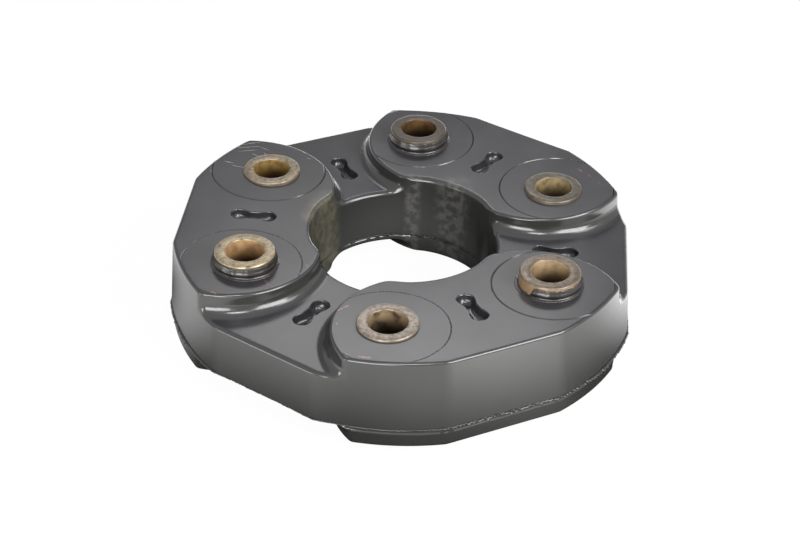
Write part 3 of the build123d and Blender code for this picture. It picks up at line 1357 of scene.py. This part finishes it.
@dataclass(frozen=True)
class SleeveFinish:
    """Turned steel with a yellowish, speckled plating, with painted light and shade down its bore.

    To the eye the rims are dull metal with pale and dark specks. The bores are warm brown,
    painted lighter at the mouth and painted darker below as shade, with 3.3 mm stains over it.
    The specks are drawn at 1.3 mm, because the real ones of about 0.5 mm are too fine to show.
    """

    name: str
    base: str
    light: str
    bore_mouth: str
    bore_middle: str
    stain: str
    stain_share: float = 0.5
    side: str = "5e5446"
    dark: str = "352e27"
    bore_shade: str = "2a2219"
    bore_depth: float = 8.5
    bore_stops: tuple[float, float, float] = (0.0, 0.6, 1.0)
    mouth_fade: float = 0.2
    side_band: tuple[float, float] = (-1.0, -0.6)
    metallic: float = 0.45
    roughness: float = 0.34
    speck_scale: float = 750.0
    speck_stops: tuple[float, float, float] = (0.26, 0.48, 0.78)
    speck_height: float = 0.04
    speck_strength: float = 0.6
    stain_scale: float = 300.0
    stain_band: tuple[float, float] = (0.4, 0.68)

    def bore(self, graph: NodeGraph, place: Socket, depth: Socket) -> Socket:
        """Colour inside the bore: painted shade that darkens it with depth, with stains over it.

        Args:
            graph: The material's nodes.
            place: Position on the piece.
            depth: How deep the place lies in the bore, in millimetres.

        Returns:
            The colour.
        """
        stain = {"Vector": place, "Scale": self.stain_scale, "Detail": 4.0}
        low, high = self.stain_band
        stain = {0: graph.add("TexNoise", stain), 1: low, 2: high, 4: self.stain_share}
        stain = graph.add("MapRange", stain, **FADE)
        # Painted light and shade: the bore is light at its mouth and darkens with depth, as light
        # falls into it.
        reach = graph.add("MapRange", {0: depth, 2: self.bore_depth}, **FADE)
        colours = (self.bore_mouth, self.bore_middle, self.bore_shade)
        colour = graph.add("ValToRGB", {0: reach}, stops=tuple(zip(self.bore_stops, colours)))
        return graph.add("Mix", {0: stain, 6: colour, 7: linear(self.stain)}, 2, **BLEND)

    def make(self) -> bpy.types.Material:
        """Builds the material.

        Returns:
            The material.
        """
        graph = material_graph(self.name, self.metallic, self.roughness)
        place = graph.add("TexCoord", output="Object")
        speck = {"Vector": place, "Scale": self.speck_scale, "Detail": 5.0, "Roughness": 0.62}
        speck = graph.add("TexNoise", speck)
        stops = tuple(zip(self.speck_stops, (self.dark, self.base, self.light)))
        face = graph.add("ValToRGB", {0: speck}, stops=stops)
        depth = graph.add("Attribute", output="Fac", attribute_name=BORE_DEPTH)
        bore = self.bore(graph, place, depth)
        in_bore = graph.add("MapRange", {0: depth, 2: self.mouth_fade}, **FADE)
        low, high = self.side_band
        on_side = graph.add("MapRange", {0: depth, 1: low, 2: high, 3: 1.0, 4: 0.0}, **FADE)
        colour = graph.add("Mix", {0: in_bore, 6: face, 7: bore}, 2, **BLEND)
        colour = graph.add("Mix", {0: on_side, 6: colour, 7: linear(self.side)}, 2, **BLEND)
        graph.shader_input("Base Color", colour)
        relief = {
            "Height": speck,
            "Distance": self.speck_height * MILLIMETRE,
            "Strength": self.speck_strength,
        }
        graph.shader_input("Normal", graph.add("Bump", relief))
        return graph.owner


# The sleeves in the order of their numbers, from the nearest one on.
# Each sleeve's bore colours are painted light at the mouth and painted shade below.
SLEEVE_FINISHES = (
    SleeveFinish("steel_c", "6c6258", "8a8175", "9f886b", "5d4e3c", "1a1713", 0.8),
    SleeveFinish("steel_d", "5c5146", "7b6e61", "b89f7d", "8b7456", "5a4a36", side="94795a"),
    SleeveFinish("steel_e", "4c463c", "655d52", "ab9772", "786848", "4e4632", 0.7),
    SleeveFinish("steel_f", "3a342d", "504940", "6c5133", "38291a", "1d150e", 0.6),
    SleeveFinish("steel_a", "6b604f", "8c7f6b", "a0834f", "5f4827", "3b2e17"),
    SleeveFinish("steel_b", "7c705a", "a4967c", "bd9a70", "90714b", "64492f"),
)


@dataclass(frozen=True)
class PlainFinish:
    """Finish with one colour, for what is sealed inside the rubber and never seen."""

    name: str
    colour: str
    metallic: float
    roughness: float

    def make(self) -> bpy.types.Material:
        """Builds the material.

        Returns:
            The material.
        """
        graph = material_graph(self.name, self.metallic, self.roughness)
        graph.shader_input("Base Color", linear(self.colour))
        return graph.owner


# Wound polyester cord, dipped in latex: matt and cream.
CORD = PlainFinish("polyester_cord", "b8a88a", 0.0, 0.85)
# Pressed steel washer: plain grey metal.
COLLAR = PlainFinish("collar_steel", "8c8c8e", 1.0, 0.4)


@dataclass
class RubberBody:
    """The moulded body: its skin, cut open for the sleeves, pockets and witness lines."""

    grid: RubberGrid = field(default_factory=RubberGrid)
    cutters: Cutters = field(default_factory=Cutters)
    finish: RubberFinish = field(default_factory=RubberFinish)
    pocket_finish: BareRubberFinish = POCKET_RUBBER
    corner_reach: float = 0.012
    middle_reach: float = 0.048
    crease_angle: float = 30.0
    pocket_sink: float = 0.35
    pocket_reach: float = 9.5

    def face_outwards(self, mesh: bpy.types.Mesh) -> None:
        """Turns each closed shell's faces to point out of it.

        Args:
            mesh: The mesh, which is changed.
        """
        shells = bmesh.new()
        shells.from_mesh(mesh)
        bmesh.ops.recalc_face_normals(shells, faces=shells.faces)
        shells.to_mesh(mesh)
        shells.free()

    def cut(self, skin: bpy.types.Object, cutter: bpy.types.Object) -> bpy.types.Mesh:
        """Takes the cutters away from the skin.

        Args:
            skin: Closed skin of the body.
            cutter: Closed shells that are cut out of it.

        Returns:
            Mesh of what is left.
        """
        boolean = skin.modifiers.new("cut", "BOOLEAN")
        boolean.operation, boolean.object, boolean.solver = "DIFFERENCE", cutter, "MANIFOLD"
        evaluated = skin.evaluated_get(bpy.context.evaluated_depsgraph_get())
        mesh = bpy.data.meshes.new_from_object(evaluated)
        skin.modifiers.clear()
        return mesh

    def shade(self, mesh: bpy.types.Mesh) -> None:
        """Gives corners on the moulded surface the field's own direction, so coves shade evenly.

        A corner takes it where its point and the middle of its face lie on the field's 0 level.

        Args:
            mesh: The cut mesh, which is changed.
        """
        shape = self.grid.shape
        points = read_array(mesh.vertices, "co", 3) / MILLIMETRE
        centres = read_array(mesh.polygons, "center", 3) / MILLIMETRE
        totals = read_array(mesh.polygons, "loop_total", kind=np.int32)
        corner_vertex = read_array(mesh.loops, "vertex_index", kind=np.int32)
        on_skin = np.abs(shape.value(centres)) < self.middle_reach
        near = np.abs(shape.value(points)) < self.corner_reach
        slope = shape.slope(points)
        slope /= np.linalg.norm(slope, axis=1)[:, None]
        normals = read_array(mesh.corner_normals, "vector", 3)
        use = np.repeat(on_skin, totals) & near[corner_vertex]
        normals[use] = slope[corner_vertex][use]
        mesh.normals_split_custom_set(normals.tolist())

    def dress_pockets(self, mesh: bpy.types.Mesh) -> None:
        """Gives the faces inside the pockets the second material.

        Args:
            mesh: The cut mesh, which is changed.
        """
        centres = read_array(mesh.polygons, "center", 3) / MILLIMETRE
        sunk = self.grid.shape.value(centres) < -self.pocket_sink
        radius, turn, _ = self.grid.shape.fold(centres[:, 0], centres[:, 1])
        from_middle = from_nearest(turn, STEP)
        along = radius * cosd(from_middle) - self.cutters.layout.pocket_radius
        away = np.hypot(along, radius * sind(from_middle))
        chosen = sunk & (away < self.pocket_reach)
        mesh.polygons.foreach_set("material_index", chosen.astype(np.int32))

    def build(self) -> bpy.types.Object:
        """Makes the piece, dresses it and seats it in the frame.

        Returns:
            The piece.
        """
        points, faces = self.grid.build()
        skin = mesh_object("rubber_skin", points, faces)
        cutter = mesh_object("cutters", *self.cutters.joined())
        self.face_outwards(cutter.data)
        skin.data = self.cut(skin, cutter)
        bpy.data.objects.remove(cutter)
        mesh = skin.data
        mesh.polygons.foreach_set("use_smooth", [True] * len(mesh.polygons))
        mesh.set_sharp_from_angle(angle=np.radians(self.crease_angle))
        self.shade(mesh)
        mesh.materials.clear()
        mesh.materials.append(self.finish.make())
        mesh.materials.append(self.pocket_finish.make())
        self.dress_pockets(mesh)
        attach(skin, "root")
        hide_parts("rubber_body")
        return skin


@dataclass
class Sleeves:
    """Six steel sleeves: turned profiles with soft rims, each standing proud on its own side."""

    layout: Layout = field(default_factory=Layout)
    finishes: tuple[SleeveFinish, ...] = SLEEVE_FINISHES
    bore_steps: tuple[float, ...] = (0.5, 1.5, 3.0, 5.0, 8.0, 13.0)
    rim_bevel: float = 0.6
    mouth_bevel: float = 0.35
    bevel_angles: tuple[float, ...] = (0.0, 30.0, 60.0, 90.0)
    crease_angle: float = 35.0
    wall_reach: float = 0.01
    side_mark: float = -1.0
    segments: int = 128

    def profile(self, low: float, high: float) -> list[tuple[float, float]]:
        """Cross-section of one sleeve, with quarter circles at its rims and mouths.

        Args:
            low: Height of its lower end.
            high: Height of its upper end.

        Returns:
            Radius and height of each point, from the upper rim down the bore and back.
        """
        outer, bore = self.layout.sleeve_radius, self.layout.bore_radius
        rim, mouth = self.rim_bevel, self.mouth_bevel
        turned_rim, turned_mouth = [], []
        for angle in self.bevel_angles:
            in_by, down_by = 1.0 - cosd(angle), 1.0 - sind(angle)
            turned_rim.append((outer - rim * in_by, rim * down_by))
            turned_mouth.append((bore + mouth * down_by, mouth * in_by))
        return [
            *((radius, high - fall) for radius, fall in turned_rim),
            *((radius, high - fall) for radius, fall in turned_mouth),
            *((bore, high - mouth - step) for step in self.bore_steps),
            *((bore, low + mouth + step) for step in reversed(self.bore_steps)),
            *((radius, low + fall) for radius, fall in reversed(turned_mouth)),
            *((radius, low + fall) for radius, fall in reversed(turned_rim)),
        ]

    def mark_bore(self, mesh: bpy.types.Mesh, points: Points, low: float, high: float) -> None:
        """Stores how deep each point lies in the bore, and marks those on the outside.

        Args:
            mesh: The sleeve's mesh.
            points: Its points about its own axis.
            low: Height of its lower end.
            high: Height of its upper end.
        """
        radius = np.hypot(points[:, 0], points[:, 1])
        depth = np.minimum(points[:, 2] - low, high - points[:, 2]) - self.mouth_bevel / 2.0
        in_bore = radius < self.layout.bore_radius + self.wall_reach
        on_side = radius > self.layout.sleeve_radius - self.wall_reach
        depth = np.where(in_bore, np.maximum(depth, 0.0), 0.0)
        depth = np.where(on_side, self.side_mark, depth)
        attribute = mesh.attributes.new(BORE_DEPTH, "FLOAT", "POINT")
        attribute.data.foreach_set("value", depth)

    def build(self) -> list[bpy.types.Object]:
        """Makes all six, dressed and seated.

        Returns:
            The pieces.
        """
        made = []
        for number, finish in enumerate(self.finishes, 1):
            node = f"bolt_sleeve_{number}"
            low, high = (corner[2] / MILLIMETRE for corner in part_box(node))
            points, faces = lathe(self.profile(low, high), self.segments)
            placed = points + (*self.layout.bolt_centre(number), 0.0)
            piece = mesh_object(f"sleeve_{number}", placed, faces[:, ::-1])
            self.mark_bore(piece.data, points, low, high)
            piece.data.set_sharp_from_angle(angle=np.radians(self.crease_angle))
            piece.data.materials.append(finish.make())
            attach(piece, "root")
            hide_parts(node)
            made.append(piece)
        return made


@dataclass(frozen=True)
class SkinRow:
    """Row of a skin's section: how far out, and how high above a share of the way up it lies.

    The bead, the wave and the hem are how much of each it takes. A row from the lip counts its
    height from there, and any other from the foot.
    """

    out: float
    rise: float = 0.0
    share: float = 0.0
    bead: float = 0.0
    wave: float = 0.0
    hem: float = 0.0
    from_lip: bool = False


@dataclass
class SleeveSkins:
    """Rubber skins drawn up the proud end of each sleeve, one of them torn open."""

    layout: Layout = field(default_factory=Layout)
    segments: int = 240
    outer_radius: float = 9.97
    rows: tuple[SkinRow, ...] = (
        SkinRow(0.95, rise=-0.25, hem=1.0),
        SkinRow(0.83, rise=0.1, hem=1.0),
        SkinRow(0.45, rise=0.16),
        SkinRow(0.1, share=0.13),
        SkinRow(0.06, share=0.22, wave=1.0),
        SkinRow(0.12, share=0.32, bead=0.5, wave=1.0),
        SkinRow(0.12, share=0.42, bead=1.0, wave=1.0),
        SkinRow(0.1, share=0.52, bead=0.9, wave=1.0),
        SkinRow(0.06, share=0.63, bead=0.5, wave=1.0),
        SkinRow(0.0, share=0.72, wave=1.0),
        SkinRow(-0.02, rise=-0.16, wave=1.0, from_lip=True),
        SkinRow(-0.12, rise=-0.03, from_lip=True),
        SkinRow(-0.24, from_lip=True),
        SkinRow(-0.34, rise=-0.12, from_lip=True),
        SkinRow(-0.36, rise=0.3),
        SkinRow(-0.36, rise=-0.25),
    )
    lip_height: float = 18.25
    least_height: float = 0.4
    bead: float = 0.3
    bead_height: float = 3.0
    torn_number: int = 2
    tear: tuple[float, float] = (148.0, 237.0)
    tear_start: tuple[float, float] = (-5.0, 3.0)
    tear_stop: tuple[float, float] = (6.0, -4.0)
    tear_height: float = 0.55
    lip_wobble: Wobble = Wobble(0.16, range(4, 40, 3), 0)
    tear_wobble: Wobble = Wobble(0.5, range(9, 70, 4), 50)
    wave_wobble: Wobble = Wobble(0.05, range(2, 16, 2), 20)
    hem_wobble: Wobble = Wobble(0.12, range(5, 90, 6), 30)

    def lip(self, number: int, turn: Points, foot: Points) -> Points:
        """Height of the ragged upper edge, which falls to the foot where the skin is torn.

        Args:
            number: Number of the sleeve.
            turn: Directions round it.
            foot: Height of the rubber that it stands on.

        Returns:
            Heights, one for each direction.
        """
        lip = self.lip_height + self.lip_wobble.at(turn, number)
        if number != self.torn_number:
            return lip
        starts = (self.tear[0] + edge for edge in self.tear_start)
        stops = (self.tear[1] + edge for edge in self.tear_stop)
        torn = smooth_step(*starts, turn) * smooth_step(*stops, turn)
        low = foot + self.tear_height + self.tear_wobble.at(turn, number)
        return lip + (low - lip) * torn

    def build_one(self, number: int) -> tuple[Points, Points]:
        """Closed ring of skin round one sleeve: a grid of the rows of its section.

        Args:
            number: Number of the sleeve.

        Returns:
            Points and quads.
        """
        face = Face.UPPER if number % 2 == 0 else Face.LOWER
        turn = np.arange(self.segments) * FULL_TURN / self.segments
        centre = self.layout.bolt_centre(number)
        reach = self.outer_radius + self.rows[0].out
        away = np.hypot(centre[0] + reach * cosd(turn), centre[1] + reach * sind(turn))
        upper = self.layout.pad_height(away)
        foot = upper if face is Face.UPPER else np.full(turn.shape, -self.layout.pad_bottom)
        lip = self.lip(number, turn, foot)
        wave, hem = self.wave_wobble.at(turn, number), self.hem_wobble.at(turn, number)
        high = np.maximum(lip - foot, self.least_height)
        bead = self.bead * np.minimum(high / self.bead_height, 1.0)
        grid = []
        for row in self.rows:
            radius = self.outer_radius + row.out
            radius = radius + row.bead * bead + row.wave * wave + row.hem * hem
            height = (lip if row.from_lip else foot + row.share * high) + row.rise
            x, y = centre[0] + radius * cosd(turn), centre[1] + radius * sind(turn)
            grid.append(np.stack([x, y, face.value * height], -1))
        faces = grid_faces(len(self.rows), self.segments, True)
        if face is Face.UPPER:
            faces = faces[:, ::-1]
        return np.concatenate(grid), faces

    def build(self, material: bpy.types.Material) -> list[bpy.types.Object]:
        """Makes all six skins, dressed and seated.

        Args:
            material: Their material.

        Returns:
            The pieces.
        """
        made = []
        for number in range(1, SLEEVES + 1):
            piece = mesh_object(f"skin_{number}", *self.build_one(number))
            piece.data.materials.append(material)
            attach(piece, "root")
            made.append(piece)
        return made


@dataclass(frozen=True)
class Swell:
    """Stretch of the flash that differs from the rest: its middle, half-width and amount."""

    middle: float
    half_width: float
    amount: float


@dataclass
class Flash:
    """Ragged fins of rubber where the mould halves met, round the rim and round the opening."""

    shape: RubberField = field(default_factory=RubberField)
    columns: int = 2400
    reaches: tuple[tuple[Wall, float, int], ...] = ((Wall.RIM, 0.4, 71), (Wall.OPENING, 0.3, 81))
    thickness: float = 0.36
    root: float = 0.5
    droop: float = 0.55
    thick: tuple[Swell, ...] = (
        Swell(-150.0, 16.0, 1.4), Swell(-27.0, 15.0, 1.8), Swell(-60.0, 10.0, 0.8),
    )
    jagged: tuple[Swell, ...] = (
        Swell(-58.0, 20.0, 1.0), Swell(-152.0, 14.0, 0.12), Swell(70.0, 40.0, 0.5),
    )
    usual_share: float = 0.75
    share_limits: tuple[float, float] = (0.05, 2.0)
    least_rough: float = 0.12
    jagged_rough: float = 0.75
    least_drop: float = 0.06
    jagged_drop: float = 0.3
    waist: float = 0.4
    upper_waist: float = 0.8
    lower_waist: float = 0.9
    tip: float = 0.05
    slow: Wobble = Wobble(0.25, range(3, 40, 2), 0)
    quick: Wobble = Wobble(1.0, range(60, 420, 13), 1)
    sway: Wobble = Wobble(1.0, range(5, 160, 7), 2)

    def along(self, turn: Points, swells: tuple[Swell, ...]) -> Points:
        """Sum of bells round the ring.

        Args:
            turn: Directions.
            swells: The bells.

        Returns:
            Their sum in each direction.
        """
        total = np.zeros(turn.shape)
        for swell in swells:
            away = from_nearest(turn - swell.middle, FULL_TURN)
            total += swell.amount * bell(away, swell.half_width)
        return total

    def fin(self, wall: Wall, reach: float, seed: int) -> tuple[Points, Points]:
        """Thin closed ring whose tip follows a rough line, and sags on the rim.

        Args:
            wall: The wall that it stands on.
            reach: Usual distance that the fin stands out.
            seed: Seed of its roughness.

        Returns:
            Points and quads.
        """
        out, on_rim = wall.value, wall is Wall.RIM
        turn = np.arange(self.columns) * FULL_TURN / self.columns
        away = np.abs(from_nearest(turn, SECTOR))
        height = self.shape.layout.parting_height
        level = np.full(turn.shape, height)
        base = self.shape.rim_at(away, level) if on_rim else self.shape.opening_at(level)
        jagged, swell = self.along(turn, self.jagged), 1.0 + self.along(turn, self.thick)
        rough = self.least_rough + self.jagged_rough * jagged
        share = self.usual_share + self.slow.at(turn, seed) + rough * self.quick.at(turn, seed)
        stand = reach * swell * np.clip(share, *self.share_limits)
        drop = (self.least_drop + self.jagged_drop * jagged) * self.sway.at(turn, seed)
        drop = drop - self.droop * stand if on_rim else drop
        half = self.thickness / 2.0 * np.sqrt(swell)
        middle, middle_drop = base + out * stand * self.waist, drop * self.waist
        rows = [
            (base - out * self.root, height + half),
            (middle, height + half * self.upper_waist + middle_drop),
            (base + out * stand, height + self.tip + drop),
            (base + out * stand, height - self.tip + drop),
            (middle, height - half * self.lower_waist + middle_drop),
            (base - out * self.root, height - half),
        ]
        grid = []
        for radius, row_height in rows:
            grid.append(np.stack([radius * cosd(turn), radius * sind(turn), row_height], -1))
        faces = grid_faces(len(rows), self.columns, True)
        return np.concatenate(grid), faces if on_rim else faces[:, ::-1]

    def build(self, material: bpy.types.Material) -> list[bpy.types.Object]:
        """Makes both fins, dressed and seated.

        Args:
            material: Their material.

        Returns:
            The pieces.
        """
        made = []
        for wall, reach, seed in self.reaches:
            piece = mesh_object(f"flash_{wall.name.lower()}", *self.fin(wall, reach, seed))
            piece.data.materials.append(material)
            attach(piece, "root")
            made.append(piece)
        return made


@dataclass(frozen=True)
class Softbox:
    """Rectangular soft light: its place, its power in watts, its size and what it faces."""

    name: str
    place: tuple[float, float, float]
    power: float
    size: tuple[float, float]
    aim: tuple[float, float, float] = (0.0, 0.0, 0.0)


@dataclass(frozen=True)
class GlowPatch:
    """Round pool painted into the floor's glow, which the walls mirror: painted light where its
    extra is positive, painted shade where negative.
    """

    x: float
    y: float
    radius: float
    extra: float


@dataclass
class Studio:
    """White floor, soft lights, and the camera where the photographer stood.

    The rubber is dark and glossy, so most of what it shows is mirrored. Its tops mirror the
    card and the light behind the disc, its walls the floor, and its coves the front lights.
    """

    image_width: int = 800
    focal_pixels: float = 1760.208
    sensor: float = 36.0
    azimuth: float = 4.496
    elevation: float = 34.859
    distance: float = 544.343
    roll: float = 1.359
    target: tuple[float, float, float] = (1.521, -31.701, 15.8)
    nearest: float = 10.0
    furthest: float = 10000.0
    floor_half_side: float = 1500.0
    floor_colour: str = "f2f2f2"
    # Painted shadow: the floor does not glow within this radius of the axis, and its glow rises to
    # full at the next.
    painted_shadow_radius: float = 80.0
    glow_radius: float = 130.0
    glow_far: float = 2.2
    glow_share: float = 0.97
    card_foot: tuple[float, float] = (992.0, 165.0)
    card_head: tuple[float, float] = (464.0, 893.0)
    card_half_width: float = 900.0
    card_level: float = 0.45
    world_light: float = 0.2
    painted_light_and_shade_patches: tuple[GlowPatch, ...] = (
        GlowPatch(100.0, -114.0, 58.0, 3.4),
        GlowPatch(115.0, 22.0, 62.0, 2.4),
        GlowPatch(62.0, -80.0, 40.0, 1.0),
        GlowPatch(-90.0, -26.0, 34.0, 0.8),
        GlowPatch(-86.0, 46.0, 34.0, -0.5),
        GlowPatch(-65.0, -92.0, 46.0, 0.5),
        GlowPatch(-12.0, -106.0, 36.0, -0.4),
        GlowPatch(0.0, 0.0, 34.0, 0.7),
    )
    softboxes: tuple[Softbox, ...] = (
        Softbox("back", (-25.0, 250.0, 241.0), 0.2, (170.0, 46.0), (8.0, -38.0, 15.0)),
        Softbox("low_left", (-540.0, -365.0, 60.0), 0.7, (200.0, 90.0), (0.0, 0.0, 10.0)),
        Softbox("back_low", (60.0, 880.0, 70.0), 1.6, (900.0, 90.0), (0.0, 0.0, 15.0)),
        Softbox("front_right", (441.0, -309.0, 363.0), 5.8, (380.0, 330.0)),
        Softbox("front_left", (-137.0, -591.0, 233.0), 3.8, (330.0, 260.0)),
        Softbox("front_top", (75.0, -424.0, 552.0), 1.4, (170.0, 110.0)),
        Softbox("over_right", (470.0, -60.0, 470.0), 1.0, (200.0, 240.0)),
    )

    def camera(self) -> None:
        """Camera with the pose and lens that were worked out from the photo."""
        data = bpy.data.cameras.new("camera")
        data.lens = self.focal_pixels / self.image_width * self.sensor
        data.sensor_width, data.sensor_fit = self.sensor, "HORIZONTAL"
        data.clip_start, data.clip_end = self.nearest * MILLIMETRE, self.furthest * MILLIMETRE
        flat, rise = cosd(self.elevation), sind(self.elevation)
        away = np.array([flat * sind(self.azimuth), -flat * cosd(self.azimuth), rise])
        place = Vector((np.array(self.target) + away * self.distance) * MILLIMETRE)
        turn = (-Vector(away)).to_track_quat("-Z", "Y").to_matrix().to_4x4()
        roll = Matrix.Rotation(np.radians(self.roll), 4, "Z")
        camera = bpy.data.objects.new("camera", data)
        camera.matrix_world = Matrix.Translation(place) @ turn @ roll
        bpy.context.scene.collection.objects.link(camera)
        bpy.context.scene.camera = camera

    def floor_glow(self, graph: NodeGraph, flat: Socket) -> Socket:
        """How strongly the floor glows: not at all in a painted shadow round the disc, and fully
        beyond it.

        Args:
            graph: The floor's nodes.
            flat: Position on the floor, from the disc's axis.

        Returns:
            Strength of the glow, with the painted pools of light and shade added.
        """
        away = graph.add("VectorMath", {0: flat}, 1, operation="LENGTH")
        near, far = self.painted_shadow_radius * MILLIMETRE, self.glow_radius * MILLIMETRE
        glow = {0: away, 1: near, 2: far, 3: 0.0, 4: self.glow_far}
        glow = graph.add("MapRange", glow, **FADE)
        for patch in self.painted_light_and_shade_patches:
            middle = (patch.x * MILLIMETRE, patch.y * MILLIMETRE, 0.0)
            away = graph.add("VectorMath", {0: flat, 1: middle}, 1, operation="DISTANCE")
            more = {0: away, 2: patch.radius * MILLIMETRE, 3: patch.extra, 4: 0.0}
            more = graph.add("MapRange", more, **FADE)
            glow = graph.add("Math", {0: glow, 1: more}, operation="ADD")
        return glow

    def floor(self) -> None:
        """Plain white floor under the lowest sleeve ends, overexposed away from the disc.

        To the camera it is white all over. As a light it is dim where a shadow of the disc is
        painted into its glow, and rises to its full strength a hand's breadth away.
        """
        low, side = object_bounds()[0][2] / MILLIMETRE, self.floor_half_side
        corners = [(-side, -side, low), (side, -side, low), (side, side, low), (-side, side, low)]
        piece = mesh_object("floor", np.array(corners), [(0, 1, 2, 3)], smooth=False)
        graph = material_graph("white_floor", roughness=0.9)
        graph.shader_input("Base Color", linear(self.floor_colour))
        place = graph.add("TexCoord", output="Object")
        flat = graph.add("VectorMath", {0: place, 1: (1.0, 1.0, 0.0)}, **TIMES)
        glow = self.floor_glow(graph, flat)
        seen = graph.add("LightPath", output="Is Camera Ray")
        unseen = graph.add("Math", {0: 1.0, 1: seen}, operation="SUBTRACT")
        glow = graph.add("Math", {0: unseen, 1: glow}, **TIMES)
        level = graph.add("Math", {0: glow, 1: seen}, operation="ADD")
        white = graph.add("Emission", {"Color": linear("ffffff"), "Strength": level})
        matt = graph.own("Principled BSDF").outputs[0]
        mix = graph.add("MixShader", {0: self.glow_share, 1: matt, 2: white})
        graph.feed(graph.own("Material Output").inputs["Surface"], mix)
        piece.data.materials.append(graph.owner)
        piece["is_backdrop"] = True

    def card(self) -> None:
        """Grey card behind the disc, out of view, that the tops mirror instead of white."""
        (far, low), (near, high), half = self.card_foot, self.card_head, self.card_half_width
        corners = [(-half, far, low), (half, far, low), (half, near, high), (-half, near, high)]
        piece = mesh_object("grey_card", np.array(corners), [(0, 1, 2, 3)], smooth=False)
        graph = material_graph("grey_card", roughness=0.9)
        graph.shader_input("Base Color", linear("000000"))
        graph.shader_input("Emission Color", linear("ffffff"))
        graph.shader_input("Emission Strength", self.card_level)
        piece.data.materials.append(graph.owner)
        piece.visible_camera = piece.visible_diffuse = piece.visible_shadow = False
        piece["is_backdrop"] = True

    def world(self) -> None:
        """White surroundings: full white to the camera and in mirrors, softer as a light."""
        world = bpy.data.worlds.new("world")
        bpy.context.scene.world = world
        graph = NodeGraph(world)
        seen = graph.add("LightPath", output="Is Camera Ray")
        for kind in ("Is Glossy Ray", "Is Transmission Ray"):
            ray = graph.add("LightPath", output=kind)
            seen = graph.add("Math", {0: seen, 1: ray}, operation="MAXIMUM")
        strength = graph.add("MapRange", {0: seen, 3: self.world_light, 4: 1.0})
        background = graph.own("Background")
        graph.feed(background.inputs["Strength"], strength)
        graph.feed(background.inputs["Color"], linear("ffffff"))

    def light(self, box: Softbox) -> None:
        """Hangs up one soft light.

        Args:
            box: Its place, aim, size and power.
        """
        data = bpy.data.lights.new(box.name, "AREA")
        data.shape, data.energy = "RECTANGLE", box.power
        data.size, data.size_y = (side * MILLIMETRE for side in box.size)
        lamp = bpy.data.objects.new(box.name, data)
        lamp.location = Vector(box.place) * MILLIMETRE
        direction = Vector(box.aim) - Vector(box.place)
        lamp.rotation_euler = direction.to_track_quat("-Z", "Y").to_euler()
        bpy.context.scene.collection.objects.link(lamp)

    def build(self) -> None:
        """Sets up camera, floor, lights and colour handling."""
        self.camera()
        self.floor()
        self.card()
        self.world()
        for box in self.softboxes:
            self.light(box)
        settings = bpy.context.scene.view_settings
        settings.view_transform, settings.look = "Standard", "None"


def dress_inside(nodes: dict[str, bpy.types.Object]) -> None:
    """Gives the cord loops and collars, which are sealed in the rubber, their own materials.

    Args:
        nodes: The frame's CAD nodes by name.
    """
    materials = {"cord_loop": CORD.make(), "end_collar": COLLAR.make()}
    for name, node in nodes.items():
        for start, material in materials.items():
            if name.startswith(start):
                for place in node.material_slots:
                    place.material = material


def main() -> None:
    """Builds every piece in order."""
    logging.basicConfig(level=logging.INFO, format="%(name)s: %(message)s")
    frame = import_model()
    pieces = [RubberBody().build()]
    skins, fins = SKIN_RUBBER.make(), FLASH_RUBBER_PAINTED_SHADE.make()
    pieces += Sleeves().build() + SleeveSkins().build(skins) + Flash().build(fins)
    for piece in pieces:
        LOG.info("%s: %d polygons", piece.name, len(piece.data.polygons))
    dress_inside(frame["nodes"])
    Studio().build()


if __name__ == "__main__":
    main()
